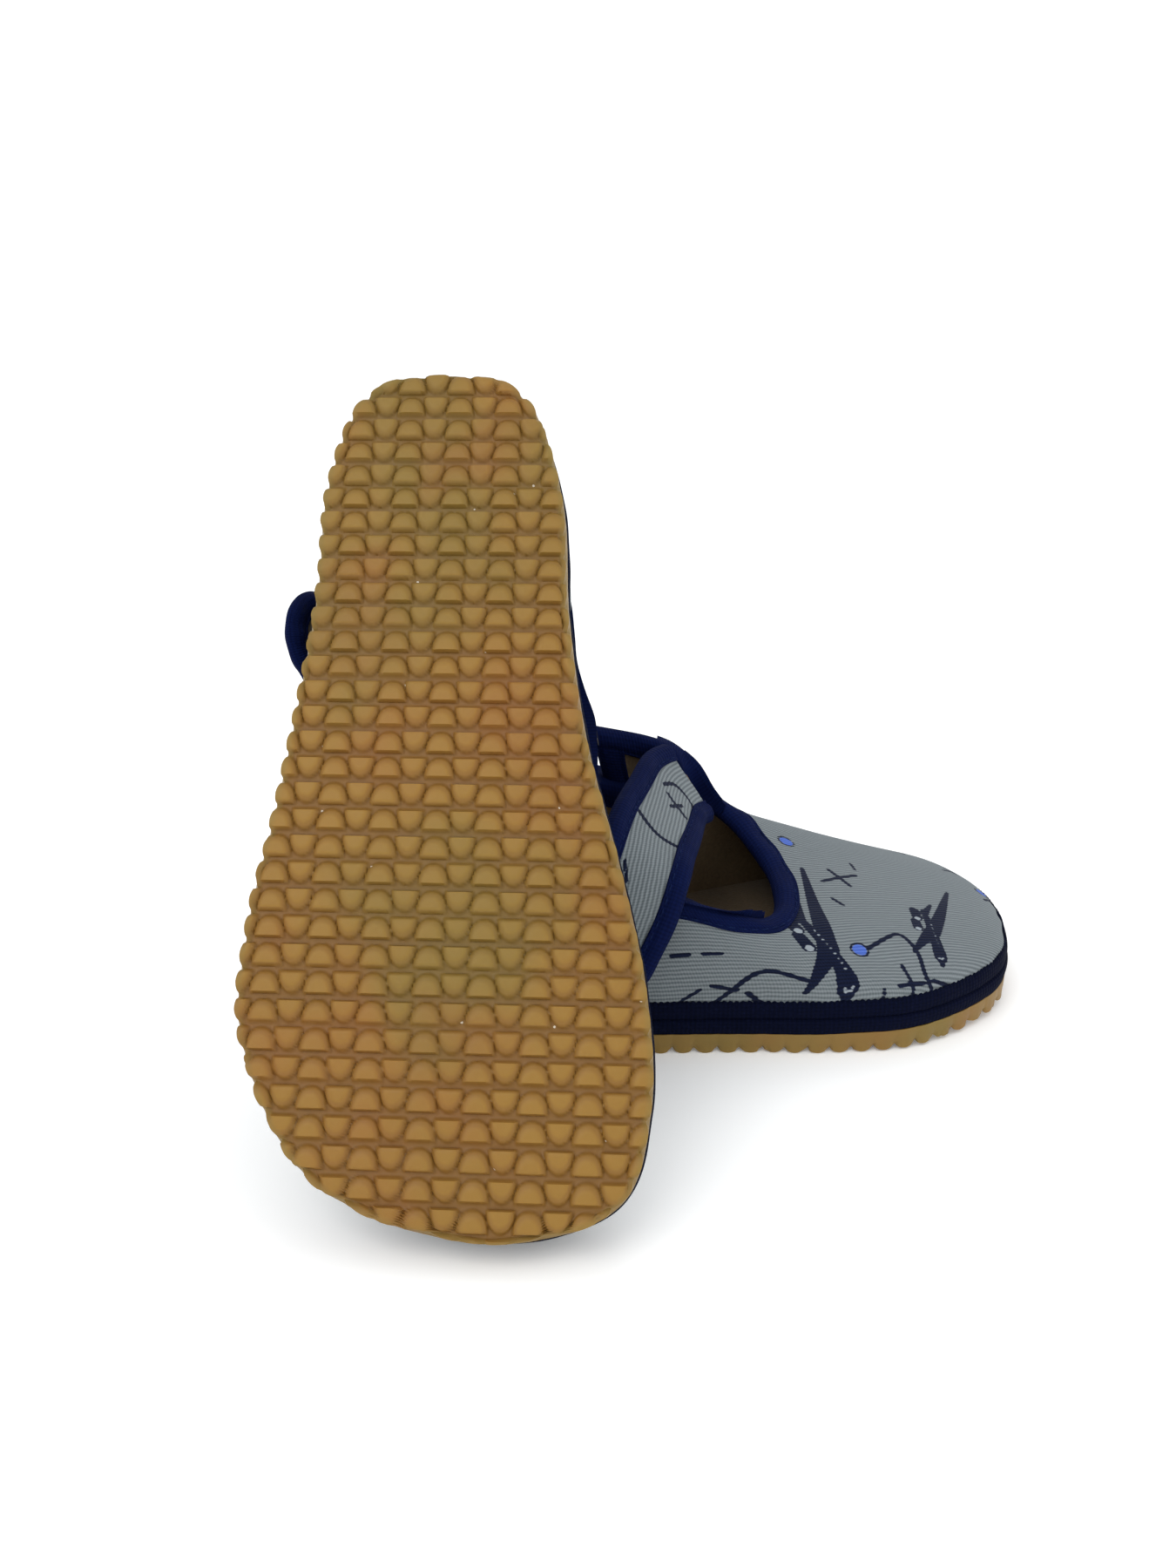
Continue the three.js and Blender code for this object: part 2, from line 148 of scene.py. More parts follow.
def runAlong(line):
    # distance along a line of points, at each of them
    return np.concatenate([[0], np.cumsum(np.linalg.norm(np.diff(line, axis=0), axis=1))])


def ripple(a, b, seed):
    # sum of five sine waves crossing each other at set angles: a smooth uneven surface, -1 to 1
    total = np.zeros(np.broadcast(a, b).shape)
    for k in range(5):
        angle = 2.4 * k + seed
        stretch = 1 + 0.37 * k
        total = total + np.sin(stretch * (a * math.cos(angle) + b * math.sin(angle)) + seed * (k + 1))
    return total / 3.2


def splineAt(points, u, closed=False):
    # uniform Catmull-Rom curve through the points, u counted in points
    count = len(points)
    k = np.floor(u).astype(int)
    if not closed:
        k = np.clip(k, 0, count - 2)
    t = (u - k)[..., None]
    a, b, c, d = [points[(k + n) % count if closed else np.clip(k + n, 0, count - 1)]
                  for n in (-1, 0, 1, 2)]
    return 0.5 * (2 * b + (c - a) * t + (2 * a - 5 * b + 4 * c - d) * t ** 2
                  + (3 * b - a - 3 * c + d) * t ** 3)


def soleEdge(i, inset=0.0):
    # the outline at index i moved inward along its normal, and that normal
    scale = np.array([soleLength, shoe["ballWidth"]])
    i = np.asarray(i, float)
    along = unit((splineAt(outlineShares, i + nearby, True)
                  - splineAt(outlineShares, i - nearby, True)) * scale)
    out = np.stack([along[..., 1], -along[..., 0]], -1)
    return splineAt(outlineShares, i, True) * scale - out * np.asarray(inset)[..., None], out


def toeLift(x):
    # the toe curls up with the square of the distance past the start of the curl
    start = shoe["springStart"] * soleLength
    return shoe["toeSpring"] * np.clip((x - start) / (soleLength / 2 - start), 0, None) ** 2


def place(shares):
    size = np.array([soleLength, shoe["ballWidth"], shoe["upperHeight"]])
    return shares * size + np.array([0, 0, shoe["featherLine"]])


def wallPoints(i, part):
    # four Bezier points of a wall: its foot on the sole, a bulge above that, the shoulder and
    # the top edge. A wall that reaches far inward lies down into a low dome.
    foot, out = soleEdge(i, shoe["upperInset"])
    low = np.concatenate([foot, (shoe["featherLine"] + toeLift(foot[..., 0]))[..., None]], -1)
    high = place(splineAt(part["top"], np.asarray(i) - part["first"]))
    rise = high[..., 2] - low[..., 2]
    reach = np.linalg.norm((high - low)[..., :2], axis=-1)
    lie = smooth(*wallShape["lies"], reach)
    riseShare, lyingRise = wallShape["bulgeRise"]
    dropShare, lyingDrop = wallShape["shoulderDrop"]
    bulge = low + np.concatenate([out * mix(*wallShape["bulge"], lie)[..., None],
                                  mix(riseShare * rise, lyingRise, lie)[..., None]], -1)
    shoulder = mix(high, low, mix(*wallShape["shoulder"], lie)[..., None])
    shoulder[..., 2] = high[..., 2] + mix(dropShare * rise, lyingDrop, lie)
    return low, bulge, shoulder, high


def bezierAt(points, t):
    a, b, c, d = points
    t = np.asarray(t)[..., None]
    s = 1 - t
    return a * s ** 3 + 3 * b * s * s * t + 3 * c * s * t * t + d * t ** 3


def topShare(i, part, width):
    # share of the wall's height that is left under a band of that width along the top edge
    _, _, shoulder, high = wallPoints(i, part)
    return 1 - width / (3 * np.linalg.norm(high - shoulder, axis=-1))


def wallAt(i, t, offset, part):
    # point of the wall at index i and height share t, moved along its outward normal
    i, t, offset = np.broadcast_arrays(np.asarray(i, float), t, offset)
    if part is quarter:
        # the quarter tucks in under the vamp at both ends, but its foot stays at the band
        tuck = shoe["tuck"] * np.maximum(1 - smooth(*tuckShape["insideTab"], i),
                                         smooth(*tuckShape["outerSide"], i))
        footOut = smooth(*tuckShape["footAtTab"], i) * (1 - smooth(*tuckShape["footOuter"], i))
        offset = offset - tuck * mix(1, smooth(0, tuckShape["height"], t), footOut)
    here = wallPoints(i, part)
    around = bezierAt(wallPoints(i + nearby, part), t) - bezierAt(wallPoints(i - nearby, part), t)
    up = bezierAt(here, np.minimum(1, t + nearby)) - bezierAt(here, t - nearby)
    return bezierAt(here, t) + unit(np.cross(around, up)) * offset[..., None]


def evenIndexes(part, spacing):
    # indexes along a wall's span whose feet and top edges are about one spacing apart
    fine = np.linspace(*part["span"], 1500)
    low, _, _, high = wallPoints(fine, part)
    steps = sum(np.linalg.norm(np.diff(line, axis=0), axis=1) for line in (low, high)) / 2
    run = np.concatenate([[0], np.cumsum(steps)])
    return np.interp(np.linspace(0, run[-1], int(run[-1] / spacing) + 1), run, fine)


def flatCloth(points, i, part):
    # where each point of the wall was on the flat cloth: its top edge seen from above, then
    # outward from there by the length of the cloth
    low, _, _, high = wallPoints(i, part)
    _, out = soleEdge(i)
    away = unit((low - high)[..., :2] + out * 15)
    lengths = np.linalg.norm(np.diff(points, axis=1), axis=-1)
    fromTop = np.cumsum(lengths[:, ::-1], axis=1)[:, ::-1]
    fromTop = np.concatenate([fromTop, np.zeros((len(points), 1))], 1)
    return high[..., :2] + away * fromTop[..., None]


def leftFrame():
    # the left shoe stands on its toe and leans back: its sole's mount says where and how
    mount = [m for m in frame["record"]["mounts"] if m["name"] == "left_sole_rest"][0]
    up = -np.array(mount["axis"])
    up = up / np.linalg.norm(up)
    lean = math.asin(-up[2])
    toe = np.array([-up[0] * math.tan(lean), -up[1] * math.tan(lean), -math.cos(lean)])
    inner = np.cross(up, toe)
    return np.stack([toe, inner, up]), np.array(mount["pos_m"])


leftAxes, leftOrigin = leftFrame()


def toRow(points, side):
    # from one shoe's own frame in mm to the row frame in metres. The left shoe is the mirror
    # image of the right one, turned into place.
    points = np.asarray(points, float) / 1000
    if side == "right":
        return points
    return (points * np.array([1, -1, 1])) @ leftAxes + leftOrigin


def quads(rows, cols, wrapRows=False, wrapCols=False):
    # corner numbers of every face of a grid; a face looks along row x column
    i = np.arange(rows if wrapRows else rows - 1)[:, None]
    j = np.arange(cols if wrapCols else cols - 1)[None, :]
    nextI, nextJ = (i + 1) % rows, (j + 1) % cols
    corners = [i * cols + j, nextI * cols + j, nextI * cols + nextJ, i * cols + nextJ]
    return np.stack(np.broadcast_arrays(*corners), -1).reshape(-1, 4)


def addPiece(name, points, faces, look, body, cloth=None, fields=None, caps=None):
    # one mesh piece in the row frame, with a UV map in mm of cloth and named point values
    side = name.split("_")[0]
    points = toRow(points, side)
    faces = [faces] + ([caps] if caps is not None else [])
    if side == "left":
        faces = [f[:, ::-1] for f in faces]
    corners = np.concatenate([f.ravel() for f in faces])
    sizes = np.concatenate([np.full(len(f), f.shape[1]) for f in faces])
    mesh = bpy.data.meshes.new(name)
    mesh.vertices.add(len(points))
    mesh.vertices.foreach_set("co", points.astype(np.float32).ravel())
    mesh.loops.add(len(corners))
    mesh.loops.foreach_set("vertex_index", corners.astype(np.int32))
    mesh.polygons.add(len(sizes))
    mesh.polygons.foreach_set("loop_start", (np.cumsum(sizes) - sizes).astype(np.int32))
    if cloth is not None:
        layer = mesh.uv_layers.new(name="cloth")
        layer.data.foreach_set("uv", (cloth[corners] / 100).astype(np.float32).ravel())
    for label, values in (fields or {}).items():
        attribute = mesh.attributes.new(label, "FLOAT", "POINT")
        attribute.data.foreach_set("value", values.astype(np.float32).ravel())
    mesh.update(calc_edges=True)
    mesh.validate()
    mesh.shade_smooth()
    mesh.set_sharp_from_angle(angle=math.radians(look["sharp"]))
    piece = bpy.data.objects.new(name, mesh)
    bpy.context.scene.collection.objects.link(piece)
    mesh.materials.append(look["material"])
    if body:
        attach(piece, body)
    return piece


def shellPiece(name, outer, inner, look, body, cloth=None, fields=None):
    # a layer of cloth between two grids of the same size, closed round its edges
    rows, cols = outer.shape[:2]
    count = rows * cols
    front = quads(rows, cols)
    number = np.arange(count).reshape(rows, cols)

    def rim(line):
        return np.stack([line[:-1], line[:-1] + count, line[1:] + count, line[1:]], -1)

    faces = np.concatenate([front, front[:, ::-1] + count, rim(number[:, 0])[:, ::-1],
                            rim(number[:, -1]), rim(number[0]), rim(number[-1])[:, ::-1]])
    points = np.concatenate([outer.reshape(-1, 3), inner.reshape(-1, 3)])
    if cloth is not None:
        cloth = np.tile(cloth.reshape(-1, 2), (2, 1))
    fields = {k: np.tile(v.ravel(), 2) for k, v in (fields or {}).items()}
    return addPiece(name, points, faces, look, body, cloth, fields)


def tapePiece(name, sections, look, body, ring=False, cloth=None, fields=None):
    # a closed profile carried along a path, closed on itself or with a fan over each end
    rows, cols = sections.shape[:2]
    faces = quads(rows, cols, wrapRows=ring, wrapCols=True)
    points = sections.reshape(-1, 3)
    caps = None
    if not ring:
        middles = sections[[0, -1]].mean(axis=1)
        points = np.concatenate([points, middles])
        first, count = np.arange(cols), rows * cols
        after = (first + 1) % cols
        start = np.stack([np.full(cols, count), first, after], -1)
        end = np.stack([np.full(cols, count + 1), after + count - cols, first + count - cols], -1)
        caps = np.concatenate([start, end])
        if cloth is not None:
            cloth = np.concatenate([cloth.reshape(-1, 2), cloth[[0, -1], 0]])
        fields = {k: np.concatenate([v.ravel(), v[[0, -1], 0]]) for k, v in (fields or {}).items()}
    elif cloth is not None:
        cloth = cloth.reshape(-1, 2)
    return addPiece(name, points, faces, look, body, cloth, fields, caps)


def roundedProfile(points, count):
    # closed smooth profile through a few points, taken at even steps of the index
    points = np.asarray(points, float)
    return splineAt(points, np.linspace(0, len(points), count, endpoint=False), True)


def tapeCloth(run, corners):
    # flat cloth of a tape: distance along it, and 0.4 mm for each corner of its profile
    return np.stack(np.broadcast_arrays(run[:, None], np.arange(corners)[None, :] * 0.4), -1)


def linearColor(text):
    # sRGB hex to linear
    values = [int(text[k:k + 2], 16) / 255 for k in (1, 3, 5)]
    return [v / 12.92 if v <= 0.04045 else ((v + 0.055) / 1.055) ** 2.4 for v in values] + [1]


def addNode(tree, kind, settings=None, links=None):
    # a node with its settings and input values, and links from other nodes' outputs
    node = tree.nodes.new(kind)
    for label, value in (settings or {}).items():
        if label in node.inputs or isinstance(label, int):
            node.inputs[label].default_value = value
        else:
            setattr(node, label, value)
    for label, output in (links or {}).items():
        tree.links.new(output, node.inputs[label])
    return node


def newMaterial(name):
    material = bpy.data.materials.new(name)
    material.use_nodes = True
    tree = material.node_tree
    tree.nodes.clear()
    shader = addNode(tree, "ShaderNodeBsdfPrincipled")
    output = addNode(tree, "ShaderNodeOutputMaterial")
    tree.links.new(shader.outputs["BSDF"], output.inputs["Surface"])
    return material, tree, shader


def maths(tree, operation, first, second=None, third=None):
    # one arithmetic step between outputs and numbers
    node = addNode(tree, "ShaderNodeMath", {"operation": operation})
    for slotNumber, value in enumerate((first, second, third)):
        if isinstance(value, (int, float)):
            node.inputs[slotNumber].default_value = value
        elif value is not None:
            tree.links.new(value, node.inputs[slotNumber])
    return node.outputs[0]


def blendColor(tree, factor, first, second):
    # mixes two colours, each a hex value or an output
    node = addNode(tree, "ShaderNodeMix", {"data_type": "RGBA"}, {0: factor})
    for slotNumber, value in ((6, first), (7, second)):
        if isinstance(value, str):
            node.inputs[slotNumber].default_value = linearColor(value)
        else:
            tree.links.new(value, node.inputs[slotNumber])
    return node.outputs[2]


def tint(tree, color, mask, amount, shade):
    # lays a shade over a colour where the mask is high
    return blendColor(tree, maths(tree, "MULTIPLY", mask, amount), color, shade)


def smoothStep(tree, value, low, high):
    # 0 below low and 1 above high, with a soft change between
    node = addNode(tree, "ShaderNodeMapRange", {"interpolation_type": "SMOOTHSTEP",
                   "From Min": low, "From Max": high}, {"Value": value})
    return node.outputs[0]


def pointValue(tree, name):
    return addNode(tree, "ShaderNodeAttribute", {"attribute_name": name}).outputs["Fac"]


def threads(tree, pitch, angle, unevenness=0.0):
    # raised lines of one direction across the cloth, from the UV map in units of 100 mm
    uv = addNode(tree, "ShaderNodeUVMap", {"uv_map": "cloth"}).outputs[0]
    split = addNode(tree, "ShaderNodeSeparateXYZ", links={0: uv})
    turned = maths(tree, "ADD", maths(tree, "MULTIPLY", split.outputs[0], math.cos(angle)),
                   maths(tree, "MULTIPLY", split.outputs[1], math.sin(angle)))
    if unevenness:
        noise = addNode(tree, "ShaderNodeTexNoise", {"Scale": 60.0, "Detail": 2.0}, {"Vector": uv})
        turned = maths(tree, "MULTIPLY_ADD", noise.outputs["Fac"], unevenness / 100, turned)
    wave = maths(tree, "SINE", maths(tree, "MULTIPLY", turned, 2 * math.pi * 100 / pitch))
    return maths(tree, "MULTIPLY_ADD", wave, 0.5, 0.5)


def objectPlace(tree):
    return addNode(tree, "ShaderNodeTexCoord").outputs["Object"]


def objectNoise(tree, size, detail=3.0):
    # soft cloudy pattern whose blotches are about size mm across
    return addNode(tree, "ShaderNodeTexNoise", {"Scale": 1000 / size, "Detail": detail},
                   {"Vector": objectPlace(tree)}).outputs["Fac"]


def addBump(tree, shader, height, distance, strength=1.0):
    bump = addNode(tree, "ShaderNodeBump", {"Distance": distance / 1000, "Strength": strength},
                   {"Height": height})
    tree.links.new(bump.outputs[0], shader.inputs["Normal"])


def finishShader(tree, shader, color, settings):
    tree.links.new(color, shader.inputs["Base Color"])
    for label, value in settings.items():
        shader.inputs[label].default_value = value


def gumRubberMaterial():
    # Natural gum rubber, injection moulded: honey brown with olive and reddish clouds, satin, olive edges,
    # pale crumbs of dust in the grooves; painted shade in the grooves and on steep flanks, painted highlight
    # on lug tops.
    material, tree, shader = newMaterial("moulded_gum_rubber")
    lug, edge, steep = [pointValue(tree, name) for name in ("lugHeight", "edge", "flankShade")]
    cloudy = objectNoise(tree, 30.0)
    grain = objectNoise(tree, 1.6, 5.0)
    olive, reddish = [smoothStep(tree, objectNoise(tree, size, 2.0), 0.48, 0.72)
                      for size in (42.0, 26.0)]
    # darker in the grooves than on the lugs: painted shade
    color = blendColor(tree, smoothStep(tree, lug, 0.05, 0.6), "#7d5828", "#866026")
    # painted shade on the steep flanks of the lugs
    color = tint(tree, color, steep, 0.45, "#6c4818")
    # painted highlight on the tops of the lugs
    color = blendColor(tree, smoothStep(tree, lug, 0.8, 1.0), color, "#906b29")
    for mask, amount, shade in ((edge, 0.55, "#80703a"), (cloudy, 0.28, "#6c4a1c"), (olive, 0.4, "#65602a"),
                                (reddish, 0.3, "#8a4c22"), (grain, 0.16, "#94763e")):
        color = tint(tree, color, mask, amount, shade)
    # crumbs: small spots in a quarter of the cells of a pattern 4.2 mm across, low between lugs
    crumbs = addNode(tree, "ShaderNodeTexVoronoi", {"Scale": 1000 / 4.2, "Randomness": 1.0},
                     {"Vector": objectPlace(tree)})
    kept = addNode(tree, "ShaderNodeSeparateColor", links={0: crumbs.outputs["Color"]})
    spot = maths(tree, "LESS_THAN", crumbs.outputs["Distance"], 0.06)
    spot = maths(tree, "MULTIPLY", spot, maths(tree, "GREATER_THAN", kept.outputs[0], 0.75))
    spot = maths(tree, "MULTIPLY", spot, maths(tree, "LESS_THAN", lug, 0.55))
    color = blendColor(tree, spot, color, "#cfc6b4")
    tree.links.new(maths(tree, "MULTIPLY_ADD", grain, 0.18, 0.40), shader.inputs["Roughness"])
    finishShader(tree, shader, color, {
        "IOR": 1.52, "Specular IOR Level": 0.25, "Subsurface Weight": 0.12,
        "Subsurface Radius": (0.6, 0.35, 0.15), "Subsurface Scale": 0.002,
    })
    addBump(tree, shader, grain, 0.12, 0.5)
    return material


def printedTwillMaterial():
    # Cotton twill, 3/1 weave, pale grey with a pigment print: matt, fine slanting ribs about
    # 1 mm apart with darker lines between them, and ink that sits on the ribs.
    material, tree, shader = newMaterial("printed_cotton_twill")
    ribs = threads(tree, 1.05, math.radians(96), 0.35)
    yarn = threads(tree, 0.62, math.radians(28), 0.2)
    frayed = maths(tree, "MULTIPLY_ADD", ribs, 0.16, maths(tree, "MULTIPLY", objectNoise(tree, 0.7), 0.25))
    cover = {name: smoothStep(tree, maths(tree, "ADD", pointValue(tree, name), frayed), 0.34, 0.08)
             for name in ("ink", "blue", "white")}
    weave = maths(tree, "MULTIPLY_ADD", yarn, 0.25, maths(tree, "MULTIPLY", ribs, 0.75))
    ground = blendColor(tree, weave, "#50575a", "#868d90")
    ground = tint(tree, ground, objectNoise(tree, 24.0), 0.3, "#697175")
    inkTone = blendColor(tree, weave, "#060c20", "#101932")
    blueTone = blendColor(tree, weave, "#3a54a4", "#5674c8")
    color = blendColor(tree, cover["blue"], ground, blueTone)
    color = blendColor(tree, cover["ink"], color, inkTone)
    color = blendColor(tree, cover["white"], color, "#8f979e")
    finishShader(tree, shader, color, {"Roughness": 0.88, "Sheen Weight": 0.05,
                                       "Sheen Roughness": 0.5, "Specular IOR Level": 0.1})
    addBump(tree, shader, weave, 0.16, 0.9)
    return material


def navyTapeMaterial(name, low, high, pitch):
    # Cotton tape dyed navy, woven across: matt, short ribs across the tape and a soft bloom
    # where it is rubbed.
    material, tree, shader = newMaterial(name)
    across = threads(tree, pitch, 0.0, 0.15)
    along = threads(tree, pitch * 0.8, math.radians(90), 0.15)
    weave = maths(tree, "MULTIPLY_ADD", across, 0.6, maths(tree, "MULTIPLY", along, 0.4))
    lint = objectNoise(tree, 0.5, 6.0)
    rubbed = objectNoise(tree, 7.0)
    color = blendColor(tree, maths(tree, "MULTIPLY_ADD", weave, 0.6,
                       maths(tree, "MULTIPLY", rubbed, 0.5)), low, high)
    color = blendColor(tree, smoothStep(tree, lint, 0.66, 0.85), color, "#222c52")
    finishShader(tree, shader, color, {"Roughness": 0.9, "Specular IOR Level": 0.06})
    addBump(tree, shader, maths(tree, "MULTIPLY_ADD", lint, 0.5, weave), 0.15, 0.8)
    return material


def beigeCottonMaterial():
    # Unbleached brushed cotton: warm beige, matt and slightly hairy, darker where worn. Its colours are a
    # dark brown: painted shade of the inside of the shoe.
    material, tree, shader = newMaterial("brushed_beige_cotton")
    hair = objectNoise(tree, 0.8, 6.0)
    worn = objectNoise(tree, 18.0)
    # dark brown in place of beige: painted shade
    color = blendColor(tree, hair, "#57462f", "#7a6648")
    color = tint(tree, color, worn, 0.35, "#46382a")
    finishShader(tree, shader, color, {"Roughness": 0.95, "Sheen Weight": 0.3,
                                       "Specular IOR Level": 0.15})
    addBump(tree, shader, hair, 0.2, 0.8)
    return material


def pressedFeltMaterial(name, low, high):
    # Pressed fibre and foam, cut with a knife: pale, matt, with short tangled fibres.
    material, tree, shader = newMaterial(name)
    fibres = objectNoise(tree, 1.2, 8.0)
    color = blendColor(tree, fibres, low, high)
    finishShader(tree, shader, color, {"Roughness": 0.95, "Specular IOR Level": 0.2})
    addBump(tree, shader, fibres, 0.25, 0.7)
    return material


def fastenerTapeMaterial():
    # Knitted nylon fastener tape, navy: rows of tiny loops or hooks with a faint nylon shine.
    material, tree, shader = newMaterial("nylon_fastener_tape")
    rows = threads(tree, 1.5, 0.0)
    columns = threads(tree, 1.3, math.radians(90))
    loops = maths(tree, "MULTIPLY", rows, columns)
    color = blendColor(tree, loops, "#0a1024", "#28345e")
    finishShader(tree, shader, color, {"Roughness": 0.6, "Sheen Weight": 0.3})
    addBump(tree, shader, maths(tree, "ADD", loops, objectNoise(tree, 0.6, 4.0)), 0.3, 1.0)
    return material


looks = {
    "rubber": {"material": gumRubberMaterial(), "slot": "gum_rubber", "sharp": 60},
    "twill": {"material": printedTwillMaterial(), "slot": "printed_twill", "sharp": 60},
    "binding": {"material": navyTapeMaterial("navy_cotton_binding", "#040a28", "#0a1640", 0.9),
                "slot": "navy_tape", "sharp": 70},
    "rand": {"material": navyTapeMaterial("navy_canvas_band", "#020512", "#070c24", 1.1),
             "slot": "navy_tape", "sharp": 70},
    "thread": {"material": navyTapeMaterial("navy_sewing_thread", "#0c1638", "#18264e", 0.5),
               "slot": "navy_tape", "sharp": 60},
    "cotton": {"material": beigeCottonMaterial(), "slot": "beige_cotton", "sharp": 60},
    "fastener": {"material": fastenerTapeMaterial(), "slot": "fastener_tape", "sharp": 60},
}
platformMaterial = pressedFeltMaterial("cut_foam_board", "#b9b4a8", "#d8d4ca")
stiffenerMaterial = pressedFeltMaterial("impregnated_felt", "#a8a294", "#cfc9bb")
print("materials made")


tread = {
    "rowPitch": 5.363,      # along the shoe
    "firstRow": -88.7,      # x of the first row
    "lugPitch": 10.5,       # across the shoe, from one arch to the next
    "lugLength": 4.55,
    "heelArch": (3.2, 2.3),  # half width of its base, and power of the superellipse
    "toeArch": (2.95, 2.1),
    "flatShare": 0.52,
    "depth": 1.35,
    "steepShare": 0.62,     # share of an arch's height that rises steeply from its outline
    "steepRun": 0.55,
    "baseRun": 0.4,
    "scallop": 0.9,         # how far the grooves cut into the edge
    "scallopRun": 2.4,      # how far in from the edge they still do
    "toothShare": 0.75,     # how much round teeth take the place of the arches at the edge
    "toothRun": 1.4,
    "toothPhase": (0.94, 0.08, 0.7),  # share of a row that a tooth fills, its start, its power
    "flankFrom": 0.6,       # slope from which the material paints shade on a flank
    "flankFades": (0.45, 0.8),  # heights over which that painted shade stops
    "wallValue": 0.35,      # lug height that the material reads on the side walls
    "step": 0.43,           # spacing of the surface
    # side wall: height above the grooves' floor and how much of the scallop is left there
    "wallAboveGroove": [(0.35, 0.75), (0.9, 0.25)],
    "wallBelowTop": [(0.5, 0.05), (0.0, 0.3)],
}


def lugHeight(x, y):
    # Each row holds arches that point to the heel and, halfway between them, arches that point
    # to the toe. An arch is a superellipse. It rises steeply from its outline, then on a slope
    # to a flat middle that covers half of it.
    along = (x - tread["firstRow"]) % tread["rowPitch"]
    length = tread["lugLength"]

    def arch(fromBase, sideways, half, power):
        ray = np.hypot(fromBase, sideways) + 1e-6
        share = ((np.abs(fromBase) / length) ** power + (np.abs(sideways) / half) ** power) ** (1 / power)
        gap = ray / (share + 1e-6) - ray
        steep = tread["steepShare"] * smooth(0.0, tread["steepRun"], gap)
        slope = (1 - tread["steepShare"]) * (1 - smooth(tread["flatShare"], 1.0, share))
        return (steep + slope) * smooth(0, tread["baseRun"], fromBase)

    def fromMiddle(shift):
        return (y - shift + tread["lugPitch"] / 2) % tread["lugPitch"] - tread["lugPitch"] / 2

    toHeel = arch(length - along, fromMiddle(0), *tread["heelArch"])
    toToe = arch(np.where(along < length, along, -1), fromMiddle(tread["lugPitch"] / 2), *tread["toeArch"])
    return np.where(along < length, np.maximum(toHeel, toToe), 0)


def outlineSides(x, inset=0.0):
    # y of the outer and the inner side of the outline at each x, and their normals
    i = np.linspace(0, outlineCount, 4001)
    edge, out = soleEdge(i, np.full(len(i), float(inset)))
    toe = np.argmax(edge[:, 0])
    heel = np.argmin(np.where(i > outlineCount / 2, edge[:, 0], 1e9))
    start = np.argmin(np.where(i < 3, edge[:, 0], 1e9))
    outer = slice(start, toe + 1)
    inner = slice(toe, heel + 1)
    found = []
    for part in (outer, inner):
        order = np.argsort(edge[part, 0])
        columns = [np.interp(x, edge[part, 0][order], values[part][order])
                   for values in (edge[:, 1], out[:, 0], out[:, 1])]
        found.append(columns)
    return found, edge[:, 0].min(), edge[:, 0].max()


def soleStations(low, high, step, ends=3.0):
    # x values at even steps, closing up with the square of the distance at the round ends
    close = ends * (np.arange(1, 13) / 13) ** 2
    middle = np.linspace(low + ends, high - ends, int((high - low - 2 * ends) / step) + 1)
    return np.concatenate([low + close, middle, (high - close)[::-1]])


def buildOutsole(side):
    _, heel, toe = outlineSides(np.array([0.0]))
    x = soleStations(heel, toe, tread["step"])
    (outer, inner), _, _ = outlineSides(x)
    columns = int(soleWidth / tread["step"])
    share = np.linspace(0, 1, columns)[None, :]
    y = mix(outer[0][:, None], inner[0][:, None], share)
    xGrid = np.broadcast_to(x[:, None], y.shape)
    # the grooves cut the edge into scallops: points near the edge move inward by the groove
    normal = unit(np.stack([mix(outer[k][:, None], inner[k][:, None], smooth(0.3, 0.7, share))
                            for k in (1, 2)], -1))
    fromEdge = np.minimum((y - outer[0][:, None]) * np.abs(outer[2][:, None]),
                          (inner[0][:, None] - y) * np.abs(inner[2][:, None]))
    atEdge = 1 - smooth(0, tread["scallopRun"], fromEdge)
    rowShare = ((xGrid - tread["firstRow"]) % tread["rowPitch"]) / tread["rowPitch"]
    filled, toothStart, power = tread["toothPhase"]
    roundTeeth = np.clip(np.sin(math.pi * (rowShare * filled + toothStart)), 0, 1) ** power
    height = mix(lugHeight(xGrid, y), roundTeeth,
                 tread["toothShare"] * (1 - smooth(0, tread["toothRun"], fromEdge)))
    cut = tread["scallop"] * (1 - height) * atEdge
    bottom = np.stack([xGrid - normal[..., 0] * cut, y - normal[..., 1] * cut,
                       tread["depth"] * (1 - height) + toeLift(xGrid)], -1)
    levels = [(tread["depth"] + above, keep) for above, keep in tread["wallAboveGroove"]]
    levels += [(shoe["outsoleThickness"] - below, keep) for below, keep in tread["wallBelowTop"]]

    def wall(column, levels):
        # up from the scalloped edge to a plain one
        plain = np.stack([x, y[:, column], toeLift(x)], -1)
        rows = []
        for level, keep in levels:
            ring = mix(plain, bottom[:, column], keep)
            ring[:, 2] = toeLift(x) + level
            rows.append(ring)
        return rows

    # across the tread, up one wall, over the top and down the other
    loop = [bottom[:, k] for k in range(columns)]
    loop += wall(-1, levels) + wall(0, levels[::-1])
    sections = np.stack(loop, 1)[:, ::-1]
    extra = sections.shape[1] - columns
    # steep flanks of the lugs, which the material darkens as painted shade
    slopeX, slopeY = np.gradient(tread["depth"] * height)
    flankShade = np.clip(np.hypot(slopeX, slopeY) / tread["step"] - tread["flankFrom"], 0, 1)
    flankShade = flankShade * (1 - smooth(*tread["flankFades"], height))
    # values the material reads: on the tread, and one value for the walls and the top
    rows = (("lugHeight", height, tread["wallValue"]), ("edge", atEdge ** 2, 1.0), ("flankShade", flankShade, 0.0))
    fields = {name: np.concatenate([values, np.full((len(x), extra), onWall)], 1)[:, ::-1]
              for name, values, onWall in rows}
    piece = tapePiece(f"{side}_outsole_tread", sections, looks["rubber"], f"{side}_shoe", fields=fields)
    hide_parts(f"{side}_outsole")
    return piece


